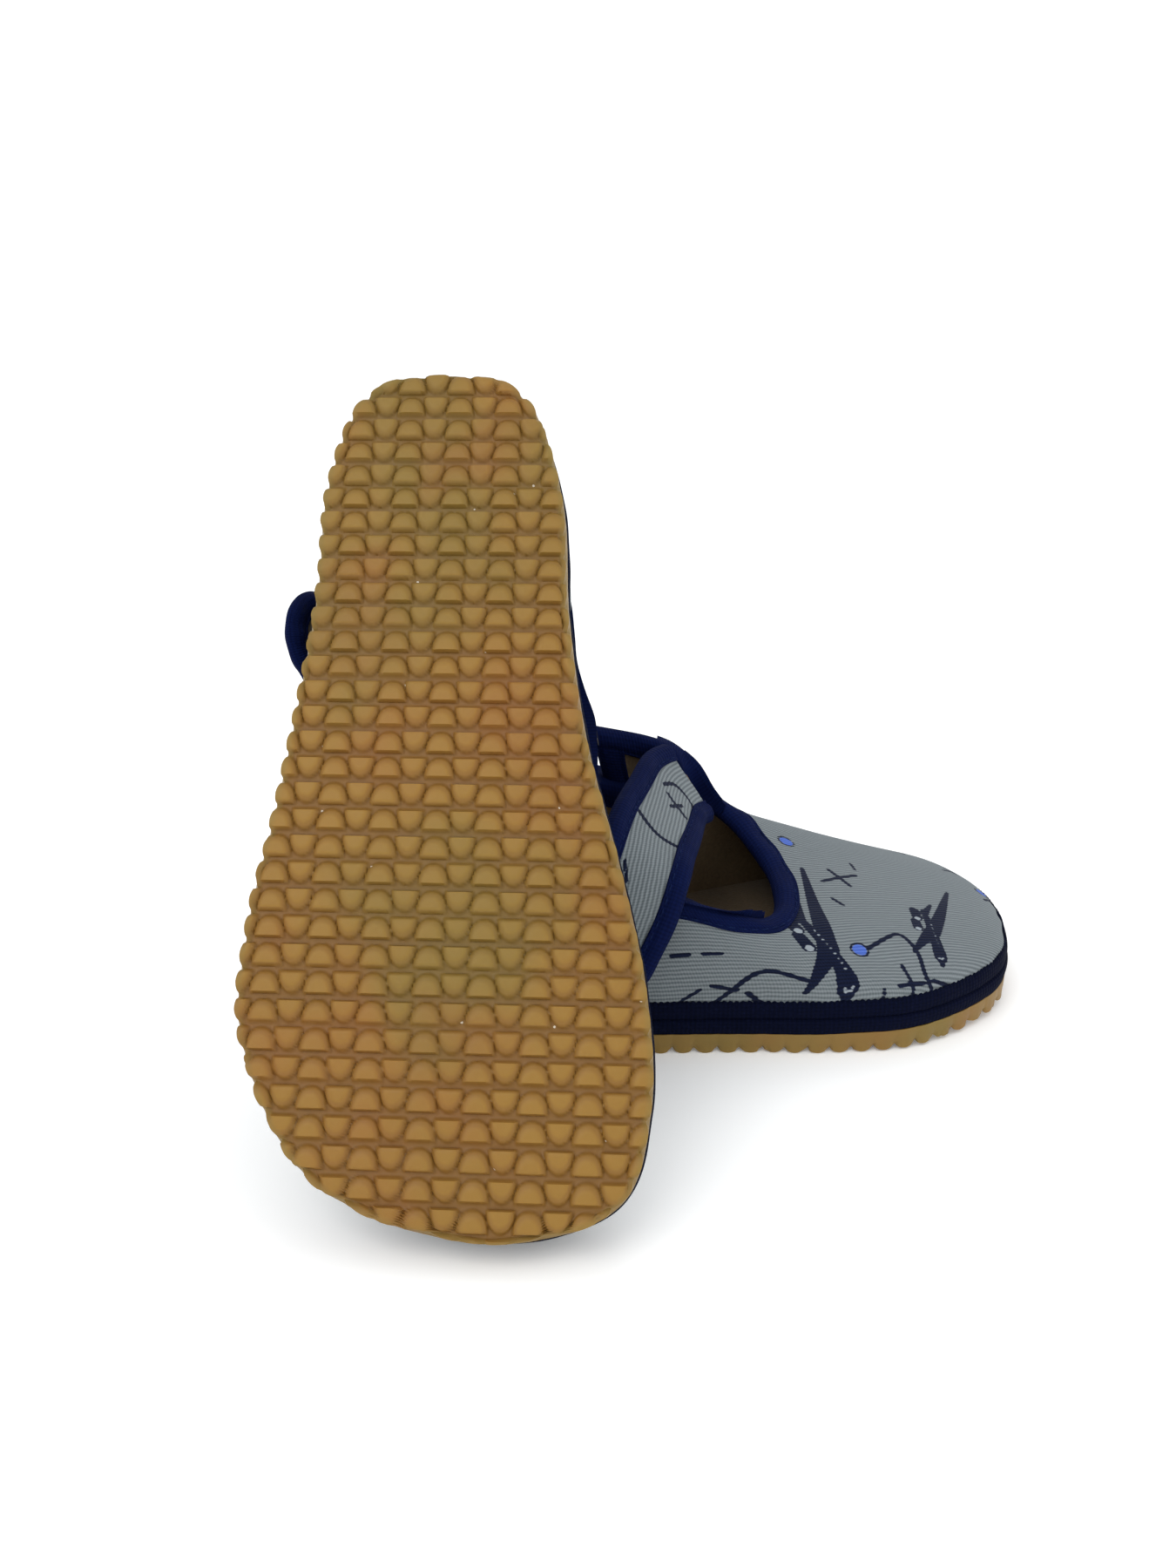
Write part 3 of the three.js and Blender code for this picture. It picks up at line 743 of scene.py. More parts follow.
# The print is drawn with straight strokes whose ends may differ in thickness, on a sheet that
# repeats. Each stroke: start, end, thickness at the start and at the end, in mm.
lineWidth = 0.62


def turned(points, centre, angle, size=1.0):
    angle = math.radians(angle)
    turn = np.array([[math.cos(angle), math.sin(angle)], [-math.sin(angle), math.cos(angle)]])
    return np.asarray(points, float) * size @ turn + np.asarray(centre)


def strokes(rows, centre=(0, 0), angle=0.0, size=1.0):
    rows = np.asarray(rows, float)
    return np.concatenate([turned(rows[:, 0:2], centre, angle, size),
                           turned(rows[:, 2:4], centre, angle, size), rows[:, 4:6] * size], 1)


def pathStrokes(points, corner=5):
    # a line through points whose corners are rounded by a quadratic curve
    points = np.asarray(points, float)
    line = [points[:1]]
    for before, here, after in zip(points[:-2], points[1:-1], points[2:]):
        reach = min(corner, 0.45 * np.linalg.norm(before - here), 0.45 * np.linalg.norm(after - here))
        a, c = here + unit(before - here) * reach, here + unit(after - here) * reach
        t = np.linspace(0, 1, 6)[:, None]
        line.append(a * (1 - t) ** 2 + 2 * here * t * (1 - t) + c * t * t)
    line = np.concatenate(line + [points[-1:]])
    return np.concatenate([line[:-1], line[1:], np.full((len(line) - 1, 2), lineWidth)], 1)


# How an airliner's wings and tailplanes end and where its two engines are, when it is seen
# from above and when it banks: then one wing is long and the other points forward.
planeShapes = {
    "level": {"wings": [(-7, 16), (-7, -16)], "tail": [(-17, 6), (-17, -6)],
              "engines": [(0, 5.6), (0, -5.6)]},
    "banked": {"wings": [(-33, 14.5), (13.5, -9.5)], "tail": [(-19, 4), (-12, -4.5)],
               "engines": [(-10.5, -3.6), (-3, -4.8)]},
}


def planeMotif(shape, centre, angle, size):
    # body and nose, then wings, tailplanes and engines, and the windows in white
    ends = planeShapes[shape]
    ink = [[-14, 0, 14, 0, 1.0, 2.5], [12, 0, 17.5, 0, 2.6, 0.9]]
    ink += [[1, 0, *tip, 3.0, 0.7] for tip in ends["wings"]]
    ink += [[-12, 0, *tip, 1.5, 0.6] for tip in ends["tail"]]
    ink += [[x - 2.5, y, x + 2.5, y, 1.8, 1.9] for x, y in ends["engines"]]
    white = [[x + 2.9, y, x + 2.9, y, 1.15, 1.15] for x, y in ends["engines"]]
    white += [[14.4, 0.9, 15.2, 0.4, 0.35, 0.3], [14.4, -0.9, 15.2, -0.4, 0.35, 0.3]]
    white += [[x, 0.7, x, 0.7, 0.36, 0.36] for x in np.arange(-6.5, 10, 1.9)]
    return strokes(ink, centre, angle, size), strokes(white, centre, angle, size)


def crossMotif(centre, angle, size):
    return strokes([[-size, 0, size, 0, 0.6, 0.6], [0, -size * 0.7, 0, size * 0.7, 0.6, 0.6]], centre, angle)


def printLayout(design):
    # every stroke of a design, sorted by colour
    rows = {"ink": [], "white": [], "blue": []}
    for motif in design.get("planes", []):
        dark, pale = planeMotif(*motif)
        rows["ink"].append(dark)
        rows["white"].append(pale)
    for centre, radius in design.get("discs", []):
        rows["ink"].append(strokes([[*centre, *centre, radius, radius]]))
        inside = radius - lineWidth
        rows["blue"].append(strokes([[*centre, *centre, inside, inside]]))
    rows["ink"] += [pathStrokes(points) for points in design.get("routes", [])]
    rows["ink"] += [crossMotif(*motif) for motif in design.get("crosses", [])]
    rows["ink"] += [strokes([[*a, *b, 0.5, 0.5]]) for a, b in design.get("dashes", [])]
    return {k: np.concatenate(v) for k, v in rows.items() if v}


# Places on the flat cloth in mm, for planes and crosses with their angle and size as well
upperPrint = {
    "repeat": np.array([150.0, 132.0]),
    "planes": [("banked", (25.4, -33.0), -74, 0.95), ("banked", (57.0, -25.0), -98, 0.75),
               ("level", (-45, -28), 155, 0.8), ("level", (2, 42), 30, 0.85),
               ("level", (66, 44), 170, 0.8), ("level", (-52, 40), -110, 0.85)],
    "discs": [((33.8, -33.8), 2.5), ((28.4, 13.8), 2.4), ((-24, 4), 2.4), ((30, 48), 2.4),
              ((-64, 6), 2.4), ((-2, -58), 2.4)],
    "routes": [[(35.8, -33.5), (47, -27), (49.5, -33.5), (49.1, -41.8), (53.3, -46)],
               [(-1, -56), (3.5, -52.5), (10, -42), (21, -45)],
               [(-24, 6), (-17, 14), (-22, 28), (-14, 34)], [(32, 49), (44, 57), (58, 60), (62, 70)],
               [(-62, 8), (-54, 16), (-40, 14)], [(-30, -52), (-22, -40), (-26, -22), (-20, -16)],
               [(66, -60), (72, -50), (88, -46), (92, -34)]],
    "crosses": [((39.5, -1.8), 25, 6.2), ((45, -44), -75, 5.5), ((-12, 16), 70, 4.0), ((82, 20), 30, 4.0),
                ((-34, 54), 15, 4.0)],
    "dashes": [((1, -48), (7, -48.6)), ((-4.2, -52.3), (-1.2, -49.2)), ((9.3, -49.1), (14.4, -52.1)),
               ((51.5, -42.1), (57.6, -42.7)), ((37.3, -46.4), (38.1, -49.3)), ((-9, -41), (-5, -40.4)),
               ((-2, -40), (2, -39.4)), ((46, 4), (46, 8)), ((34, -12), (36, -15)), ((12, 20), (16, 22)),
               ((-30, 20), (-34, 23)), ((84, 0), (88, 3)), ((18, 30), (22, 27)), ((-60, -50), (-55, -53))],
}
strapPrint = {
    "right": {"repeat": np.array([150.0, 60.0]), "crosses": [((17, 2), 60, 4.0)],
              "routes": [[(13, -3.5), (8, -1), (7.5, 5), (13, 8)], [(30, -9), (36, 0), (34, 9)]],
              "dashes": [((21, 7), (24, 8.5)), ((48, -5), (52, -3))]},
    "left": {"repeat": np.array([150.0, 60.0]), "crosses": [((50, -3), 20, 4.0)],
             "routes": [[(8, -9), (16, -2), (30, -4), (36, 9)], [(60, -9), (64, 0), (76, 3)]],
             "discs": [((44, 3), 2.4)]},
}


def printFields(points, design):
    # distance in mm from each point of the flat cloth to the edge of each colour of the print:
    # to the nearest stroke's middle line, less the stroke's thickness there
    flat = points.reshape(-1, 2)
    fields = {label: np.full(len(flat), 9.0) for label in ("ink", "white", "blue")}
    for label, rows in printLayout(design).items():
        for ax, ay, bx, by, ra, rb in rows:
            middle = np.array([(ax + bx) / 2, (ay + by) / 2])
            p = (flat - middle + design["repeat"] / 2) % design["repeat"] - design["repeat"] / 2
            run = np.array([bx - ax, by - ay])
            share = np.clip(p @ run / max(run @ run, 1e-9) + 0.5, 0, 1)
            gap = np.linalg.norm(p - (share[:, None] - 0.5) * run, axis=1) - mix(ra, rb, share)
            fields[label] = np.minimum(fields[label], gap)
    # inside a disc the blue replaces the ink
    fields["ink"] = np.maximum(fields["ink"], -fields["blue"])
    return {k: v.reshape(points.shape[:-1]) for k, v in fields.items()}


upper = {
    "step": 0.62,            # spacing of the cloth's surface
    "liningStep": 2.5,
    "belowFeather": -0.035,  # the cloth goes on a little below the top of the band
    "sag": 0.28,             # depth of the soft dents in the cloth, and their size
    "sagSize": (9, 11),
    "pucker": 0.3,           # depth of the gathers where the cloth is sewn to the sole
    "puckerHeight": 4.0,
    "toeGathers": (6.5, 8.5, 10.5),  # indexes between which the gathers are deeper
    "liningFoot": -0.02,
    "liningSag": 0.15,
    "intoBinding": 2.2,      # the cloth ends this far below the top edge, inside the binding
    "tapeEnds": (13.92, 21.5),  # indexes where the collar tape ends, under the vamp
}


def clothGrid(part, spacing):
    # indexes along, shares up, and the wall's height in mm along each column
    i = evenIndexes(part, spacing)
    low, _, _, high = wallPoints(i, part)
    tallest = np.linalg.norm(high - low, axis=-1).max()
    top = topShare(i, part, upper["intoBinding"])
    share = np.linspace(0, 1, int(tallest / spacing) + 1)[None, :]
    t = mix(upper["belowFeather"], top[:, None], share)
    return np.broadcast_to(i[:, None], t.shape), t


def softCloth(i, t, part, seed):
    # dents of the soft cloth between its edges, and gathers that fade upward from the sole
    plain = wallAt(i, t, 0.0, part)
    middle = smooth(0, 0.25, t) * (1 - smooth(0.75, 1, t))
    alongSize, upSize = upper["sagSize"]
    uneven = ripple(plain[..., 0] / alongSize, (plain[..., 1] + plain[..., 2]) / upSize, seed)
    height = t * np.linalg.norm(np.subtract(*wallPoints(i, part)[::3]), axis=-1)
    fade = np.exp(-np.maximum(height, 0) / upper["puckerHeight"])
    gathers = upper["pucker"] * np.sin(i * 21 + 2 * np.sin(i * 5)) * fade
    start, most, end = upper["toeGathers"]
    atToe = smooth(end, most, i) * smooth(start, most, i) if part is vamp else 0
    return upper["sag"] * uneven * middle + gathers * (0.4 + 0.6 * atToe)


def buildUpper(side, part, name, replaced, seed, printShift):
    i, t = clothGrid(part, upper["step"])
    soft = softCloth(i, t, part, seed)
    outer = wallAt(i, t, soft, part)
    inner = wallAt(i, t, soft - shoe["clothThickness"], part)
    flat = flatCloth(outer, i, part) + np.array(printShift)
    piece = shellPiece(f"{side}_{name}", outer, inner, looks["twill"], f"{side}_shoe",
                       cloth=flat, fields=printFields(flat, upperPrint))
    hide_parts(f"{side}_{replaced}")


def buildLining(side, part, name, replaced, seed):
    i, t = clothGrid(part, upper["liningStep"])
    t = mix(upper["liningFoot"], t[:, -1:], np.linspace(0, 1, t.shape[1])[None, :])
    soft = upper["liningSag"] * ripple(i * 3, t * 9, seed)
    outer = wallAt(i, t, soft - shoe["liningDepth"], part)
    inner = wallAt(i, t, soft - shoe["wallThickness"], part)
    flat = flatCloth(outer, i, part)
    piece = shellPiece(f"{side}_{name}", outer, inner, looks["cotton"], f"{side}_shoe", cloth=flat)
    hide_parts(f"{side}_{replaced}")


tape = {
    "spacing": 0.8,  # of its sections along the throat and the collar
    "corners": 40,
    "swell": 0.14,   # how unevenly it is filled
    "waver": 0.18,   # how far its stitched edge strays
}
endTapeFoot = 0.02     # height share at which a tape up an end of the vamp starts
endTapeBelowTop = 4.0  # mm below the top edge at which it ends
wallMiddle = -1.3      # offset of the middle of the wall from its face
# tapes up the two ends of the vamp: index of the end, index step into the vamp, index where the
# height of the wall is read, and how much of the fold stands off the middle of the wall
endTapes = {
    "tab": {"index": 14.0, "inward": -0.1, "topAt": 13.9, "rows": 60, "corners": 40,
            "width": 5.2, "fullness": 1.0},
    "rear": {"index": 3.3, "inward": 0.1, "topAt": 3.35, "rows": 50, "corners": 36,
             "width": 3.6, "fullness": 0.75},
}


def foldedTape(width, thickness):
    # Profile of a tape folded over an edge: distance below the edge and distance off the face.
    # The stitches press it down near its turned edge.
    return [(width, 0.12), (width - 0.25, 0.62), (width - 0.9, 0.42), (width - 1.8, 0.8),
            (width * 0.45, 0.95), (0.6, 0.75), (-0.55, -0.2), (-0.9, -thickness / 2),
            (-0.55, -thickness + 0.2), (0.6, -thickness - 0.7), (width * 0.45, -thickness - 0.9),
            (width - 1.8, -thickness - 0.75), (width - 0.9, -thickness - 0.4),
            (width - 0.25, -thickness - 0.55), (width, -thickness - 0.1), (width - 0.3, -thickness / 2)]


def buildTopBinding(side, part, name, replaced, seed):
    i = evenIndexes(part, tape["spacing"])
    if part is quarter:
        i = i[(i > upper["tapeEnds"][0]) & (i < upper["tapeEnds"][1])]
    profile = roundedProfile(foldedTape(shoe["bindingWidth"], shoe["wallThickness"]), tape["corners"])
    below, off = profile[:, 0], profile[:, 1]
    middle = -shoe["wallThickness"] / 2
    run = runAlong(wallPoints(i, part)[3])
    swell = 1 + tape["swell"] * ripple(run[:, None] / 3.1, below[None, :] / 3, seed)
    offset = middle + (off - middle)[None, :] * swell
    waver = tape["waver"] * np.sin(run / 2.7 + np.sin(run / 7))
    t = topShare(i[:, None], part, below[None, :] + waver[:, None] * (below > 3))
    sections = wallAt(i[:, None], t, offset, part)
    flat = tapeCloth(run, tape["corners"])
    piece = tapePiece(f"{side}_{name}", sections[:, ::-1], looks["binding"], f"{side}_shoe",
                      cloth=flat[:, ::-1])
    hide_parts(f"{side}_{replaced}")


def endTape(row):
    # sections and flat cloth of a folded tape that runs up one end of the vamp
    top = float(topShare(np.array([row["topAt"]]), vamp, endTapeBelowTop)[0])
    t = np.linspace(endTapeFoot, top, row["rows"])
    profile = roundedProfile(foldedTape(row["width"], shoe["wallThickness"]), row["corners"])
    atEnd, inside = [wallAt(np.full(row["rows"], index), t, 0.0, vamp)
                     for index in (row["index"], row["index"] + row["inward"])]
    perIndex = np.linalg.norm(atEnd - inside, axis=-1) / row["inward"]
    i = row["index"] + profile[None, :, 0] / perIndex[:, None]
    offset = np.broadcast_to(mix(wallMiddle, profile[None, :, 1], row["fullness"]), i.shape)
    return wallAt(i, t[:, None], offset, vamp), tapeCloth(runAlong(atEnd), row["corners"])


def buildTabBinding(side):
    # the tape that turns down the rear edge of the tab
    sections, flat = endTape(endTapes["tab"])
    piece = tapePiece(f"{side}_tab_edge_binding", sections, looks["binding"], f"{side}_shoe", cloth=flat)
    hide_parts(f"{side}_tab_binding")


def buildRearSeam(side):
    # narrow tape over the raw rear edge of the vamp, on the outer side
    sections, flat = endTape(endTapes["rear"])
    tapePiece(f"{side}_rear_seam_tape", sections[:, ::-1], looks["binding"], f"{side}_shoe",
              cloth=flat[:, ::-1])


band = {
    "step": 0.5,
    "corners": 44,
    "swell": 0.12,
    "tooth": 0.55,       # height of the overcast stitches on its top edge
    "toothPitch": 1.5,
    "toothHeights": (12.0, 12.9),
    "outlineTurn": 2.6,  # length of the outline in lengths of the sole
    # inset from the sole's edge and height, up the outside, over the top and down the inside
    "profile": [(0.25, 5.05), (-0.15, 5.9), (-0.35, 7.3), (-0.1, 8.6), (0.55, 9.0), (0.12, 9.5),
                (0.05, 10.8), (0.3, 12.2), (0.75, 12.9), (1.2, 13.0), (1.45, 12.3), (1.5, 9.0),
                (1.4, 5.2)],
}


def buildBand(side):
    # a profile with a crease at mid height carried round the outline; its top edge rises and
    # falls as overcast stitches do
    count = int(band["outlineTurn"] * soleLength / band["step"])
    i = np.linspace(0, outlineCount, count, endpoint=False)
    profile = roundedProfile(band["profile"], band["corners"])
    edge, _ = soleEdge(i)
    run = runAlong(edge)
    high = smooth(*band["toothHeights"], profile[:, 1])[None, :]
    teeth = band["tooth"] * high * np.abs(np.sin(math.pi * run / band["toothPitch"]))[:, None]
    swell = band["swell"] * ripple(run[:, None] / 4, profile[None, :, 1] / 3, 2.0)
    outline, _ = soleEdge(np.broadcast_to(i[:, None], swell.shape), profile[None, :, 0] - swell)
    z = profile[None, :, 1] + teeth + toeLift(outline[..., 0])
    sections = np.concatenate([outline, z[..., None]], -1)
    flat = tapeCloth(run, band["corners"])
    piece = tapePiece(f"{side}_sole_band", sections[:, ::-1], looks["rand"], f"{side}_shoe",
                      ring=True, cloth=flat[:, ::-1])
    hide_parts(f"{side}_rand")


footbed = {"gap": 0.2, "lift": 0.3, "thickness": 2.4, "dish": 0.5, "step": 2.0, "columns": 41}


def buildInsole(side):
    # a flat footbed cut to the lining, its top dished by the foot and raised at its edge
    inset = shoe["upperInset"] + shoe["wallThickness"] + footbed["gap"]
    _, heel, toe = outlineSides(np.array([0.0]), inset)
    x = soleStations(heel, toe, footbed["step"])
    (outer, inner), _, _ = outlineSides(x, inset)
    share = np.linspace(0, 1, footbed["columns"])[None, :]
    y = mix(outer[0][:, None], inner[0][:, None], share)
    xGrid = np.broadcast_to(x[:, None], y.shape)
    bottom = shoe["platformTop"] + footbed["lift"] + toeLift(xGrid)
    centre = np.sin(math.pi * share)
    dish = footbed["dish"] * centre * (1 + 0.6 * ripple(xGrid / 16, y / 14, 1.0))
    top = bottom + footbed["thickness"] - dish
    piece = shellPiece(f"{side}_footbed", np.stack([xGrid, y, top], -1), np.stack([xGrid, y, bottom], -1),
                       looks["cotton"], f"{side}_shoe", cloth=np.stack([xGrid, y], -1))
    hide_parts(f"{side}_insole")


strapParts = {
    "bendStart": 0.5,           # distance from the root where a bend would begin; nothing bends the strap
    "bendEnd": 16.0,
    "step": 0.6,
    "clothInset": 2.2,          # the cloth ends this far inside the folded tape
    "dents": 0.22,
    "backing": (0.25, 0.95),    # top and bottom of the backing under the cloth
    "backingStep": 2.0,
    "tapeStep": 0.9,
    "tapeCorners": 36,
    "tipTurns": 64,
    "foldThickness": 1.9,
    "patchLength": 22.0,        # hook tape
    "patchInset": 3.1,
    "patchThickness": 0.9,
    "patchPoints": (40, 26),
    "patchGap": 0.1,
    "patchRoughness": 0.15,
}


def strapRoute(line):
    # points close together along the middle of a strap, and how far along it each one is
    path = place(splineAt(line, np.linspace(0, len(line) - 1, 401)))
    run = runAlong(path)
    return {"path": path, "run": run, "length": run[-1], "tangents": unit(np.gradient(path, axis=0)),
            "round": run[-1] - shoe["strapWidth"] / 2}


straps = {side: strapRoute(line) for side, line in strapLines.items()}


def strapAt(strap, along, across, offset):
    # point of the strap: its middle line, plus across times its side, plus offset times its face
    along, across, offset = np.broadcast_arrays(np.asarray(along, float), across, offset)
    beyond = np.clip(along, None, strap["length"])
    point, tangent = [np.stack([np.interp(beyond, strap["run"], rows[:, k]) for k in range(3)], -1)
                      for rows in (strap["path"], strap["tangents"])]
    tangent = unit(tangent)
    point = point + tangent * (along - beyond)[..., None]
    sideways = mix(strapAcross[0], strapAcross[1], (along / strap["length"])[..., None])
    sideways = unit(sideways - tangent * (sideways * tangent).sum(-1, keepdims=True))
    face = -unit(np.cross(sideways, tangent))
    return point + sideways * across[..., None] + face * offset[..., None]


def strapGrid(strap, halfWidth, step):
    # distances along and across a strap with straight sides and a round tip
    start = strap["round"]
    turn = np.linspace(0, math.radians(88), int(halfWidth * 1.6 / step))[1:]
    straight = np.linspace(0, start, int(start / step))
    middle = np.concatenate([straight, start + halfWidth * np.sin(turn)])
    half = np.concatenate([np.full(len(straight), halfWidth), halfWidth * np.cos(turn)])
    share = np.linspace(-1, 1, int(2 * halfWidth / step))
    return np.broadcast_to(middle[:, None], (len(middle), len(share))), half[:, None] * share[None, :]


def bendsAtRoot(piece, side):
    # bakes the piece's placement into its mesh; the strap's points at the start and end of a bend are worked
    # out but not used, so nothing bends
    start, end = [toRow(strapAt(straps[side], strapParts[k], 0.0, 0.0), side)
                  for k in ("bendStart", "bendEnd")]
    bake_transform(piece)


def strapLayer(side, name, replaced, look, step, levels, dents=0.0, printed=False):
    # a layer of the strap between two levels off its middle
    half = shoe["strapWidth"] / 2 - strapParts["clothInset"]
    along, across = strapGrid(straps[side], half, step)
    soft = dents * ripple(along / 6, across / 5, 4.0) * (1 - (across / (half + 3)) ** 2)
    flat = np.stack([along, across], -1)
    fields = printFields(flat, strapPrint[side]) if printed else {}
    faces = [strapAt(straps[side], along, across, soft + level)[:, ::-1] for level in levels]
    piece = shellPiece(f"{side}_{name}", *faces, look, None, cloth=flat[:, ::-1],
                       fields={k: v[:, ::-1] for k, v in fields.items()})
    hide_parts(f"{side}_{replaced}")
    bendsAtRoot(piece, side)


def strapRim(strap, steps, turns, radius, offset):
    # down one side of the strap, round its tip and back up the other side
    straight = np.linspace(0, strap["round"], steps)
    turn = np.linspace(0, math.pi, turns)
    centre = np.concatenate([straight, np.full(turns - 2, strap["round"]), straight[::-1]])
    angle = np.concatenate([np.zeros(steps), turn[1:-1], np.full(steps, math.pi)])
    if np.ndim(radius):
        centre, angle = centre[:, None], angle[:, None]
    return strapAt(strap, centre + radius * np.sin(angle), -radius * np.cos(angle), offset)


def buildStrap(side):
    strap = straps[side]
    face = shoe["clothThickness"] / 2
    strapLayer(side, "strap_cloth", "strap", looks["twill"], strapParts["step"], (face, -face),
               strapParts["dents"], True)
    top, low = [-face - depth for depth in strapParts["backing"]]
    strapLayer(side, "strap_backing", "strap_lining", looks["cotton"], strapParts["backingStep"], (top, low))

    # the folded tape round its edge
    step, corners, turns = [strapParts[k] for k in ("tapeStep", "tapeCorners", "tipTurns")]
    steps = int(strap["round"] / step)
    profile = roundedProfile(foldedTape(shoe["strapBinding"], strapParts["foldThickness"]), corners)
    run = np.arange(2 * steps + turns - 2) * step
    swell = 1 + 0.12 * ripple(run[:, None] / 3.3, profile[None, :, 0] / 3, 5.0)
    offset = mix(-0.5, profile[None, :, 1] + face - 0.05, swell)
    sections = strapRim(strap, steps, turns, shoe["strapWidth"] / 2 - profile[None, :, 0], offset)
    piece = tapePiece(f"{side}_strap_tape", sections, looks["binding"], None,
                      cloth=tapeCloth(run, corners))
    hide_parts(f"{side}_strap_binding")
    bendsAtRoot(piece, side)

    # hook tape under the tip
    rows, columns = strapParts["patchPoints"]
    half = shoe["strapWidth"] / 2 - strapParts["patchInset"]
    along, across = np.meshgrid(strap["round"] - strapParts["patchLength"] * np.linspace(1, 0, rows),
                                np.linspace(-1, 1, columns) * half, indexing="ij")
    rough = strapParts["patchRoughness"] * ripple(along * 3, across * 3, 6.0)
    top = low - strapParts["patchGap"]
    faces = [strapAt(strap, along, across, level)[:, ::-1]
             for level in (top, top - strapParts["patchThickness"] + rough)]
    piece = shellPiece(f"{side}_hook_tape", *faces, looks["fastener"], f"{side}_strap",
                       cloth=np.stack([along, across], -1)[:, ::-1])
    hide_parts(f"{side}_hook_patch")


# indexes and height shares of the vamp that it covers, how far below the top edge the shares
# end, and its two faces off the cloth
loopTape = {"indexes": (3.34, 3.9), "heights": (1 / 6, 4 / 6), "belowTop": 7.3, "points": 30,
            "faces": (0.8, 0.05), "roughness": 0.2}


def buildLoopTape(side):
    # covers the same part of the outer side of the vamp as its CAD solid does
    i, share = np.meshgrid(np.linspace(*loopTape["indexes"], loopTape["points"]),
                           np.linspace(*loopTape["heights"], loopTape["points"]), indexing="ij")
    t = share * topShare(i, vamp, loopTape["belowTop"])
    soft = softCloth(i, t, vamp, 1.0)
    rough = loopTape["roughness"] * ripple(i * 60, t * 90, 3.0)
    top, bottom = loopTape["faces"]
    outer = wallAt(i, t, soft + top + rough, vamp)
    inner = wallAt(i, t, soft + bottom, vamp)
    piece = shellPiece(f"{side}_loop_tape", outer, inner, looks["fastener"], f"{side}_shoe",
                       cloth=flatCloth(outer, i, vamp))
    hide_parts(f"{side}_loop_patch")


thread = {
    "length": 2.1,
    "gap": 0.9,
    "radius": 0.17,
    "fromEdge": 0.95,    # distance of the seam from the turned edge of the tape
    "level": 0.5,        # distance of the seam off the face of the cloth
    "seamStep": 1.0,
    "strapSteps": (90, 40),  # points of the strap's seam along each side and round the tip
    "rings": [(0.0, 0.25), (0.12, 0.9), (0.5, 1.0), (0.88, 0.9), (1.0, 0.25)],  # place, thickness
    "corners": 6,
}


def buildStitches(name, route, facing, side, bends=False):
    # one short capsule for each stitch, sunk at both ends
    run = runAlong(route)
    pitch = thread["length"] + thread["gap"]
    starts = np.arange(1.0, run[-1] - pitch, pitch)
    shares, radii = np.array(thread["rings"]).T
    radii = radii * thread["radius"]
    at = starts[:, None] + shares[None, :] * thread["length"]
    centre = np.stack([np.interp(at, run, route[:, k]) for k in range(3)], -1)
    normal = unit(np.stack([np.interp(at, run, facing[:, k]) for k in range(3)], -1))
    tangent = unit(np.gradient(centre, axis=1))
    sideways = unit(np.cross(tangent, normal))
    lift = (-0.25 + 0.35 * np.sin(math.pi * shares))[None, :, None]
    centre = centre + normal * lift * thread["radius"] * 2
    corners = thread["corners"]
    each = len(shares) * corners
    turn = np.linspace(0, 2 * math.pi, corners, endpoint=False)
    ring = (normal[:, :, None] * np.cos(turn)[None, None, :, None]
            + sideways[:, :, None] * np.sin(turn)[None, None, :, None])
    points = centre[:, :, None] + ring * radii[None, :, None, None]
    first = (np.arange(len(starts)) * each)[:, None, None]
    faces = (quads(len(shares), corners, wrapCols=True)[:, ::-1][None] + first).reshape(-1, 4)
    ends = np.array([np.arange(corners), each - 1 - np.arange(corners)])
    caps = (ends[None] + first).reshape(-1, corners)
    flat = np.broadcast_to(points.reshape(-1, 3)[:, :1], (len(starts) * each, 2))
    piece = addPiece(name, points.reshape(-1, 3), faces, looks["thread"],
                     None if bends else f"{side}_shoe", cloth=flat, caps=caps)
    if bends:
        bendsAtRoot(piece, side)


def buildAllStitches(side):
    # each seam is a line on the tape's face, and the way out of the face
    for part, name in ((vamp, "throat"), (quarter, "collar")):
        i = evenIndexes(part, thread["seamStep"])
        t = topShare(i, part, shoe["bindingWidth"] - thread["fromEdge"])
        line, under = [wallAt(i, t, thread["level"] - depth, part) for depth in (0, 1)]
        buildStitches(f"{side}_{name}_stitches", line, line - under, side)
    radius = shoe["strapWidth"] / 2 - (shoe["strapBinding"] - thread["fromEdge"])
    level = shoe["clothThickness"] / 2 + thread["level"]
    line, under = [strapRim(straps[side], *thread["strapSteps"], radius, k) for k in (level, level - 1)]
    buildStitches(f"{side}_strap_stitches", line, line - under, side, bends=True)


# the print lies differently on the two shoes
printShift = {"right": (0.0, 0.0), "left": (40.0, 26.0)}

for side, shift in printShift.items():
    buildOutsole(side)
    buildBand(side)
    buildInsole(side)
    buildUpper(side, vamp, "vamp_cloth", "vamp", 1.0, shift)
    buildUpper(side, quarter, "quarter_cloth", "quarter", 2.0, (shift[0] + 20, shift[1] + 60))
    buildLining(side, vamp, "vamp_inner", "vamp_lining", 1.0)
    buildLining(side, quarter, "quarter_inner", "quarter_lining", 2.0)
    buildTopBinding(side, vamp, "throat_tape", "throat_binding", 1.0)
    buildTopBinding(side, quarter, "collar_tape", "collar_binding", 2.0)
    buildTabBinding(side)
    buildRearSeam(side)
    buildStrap(side)
    buildLoopTape(side)
    buildAllStitches(side)
    for node, material in (("platform", platformMaterial), ("toe_puff", stiffenerMaterial),
                           ("heel_counter", stiffenerMaterial)):
        kept = frame["nodes"][f"{side}_{node}"]
        kept.data.materials.clear()
        kept.data.materials.append(material)
    print(side, "shoe made")


stage = {
    "flat": 2.2,     # metres
    "rise": 1.6,
    "width": 1.4,
    "flatRings": 8,
    "curlRings": 14,
    "turns": 96,
    "color": "#fbfbfa",
    "glow": 0.12,
}


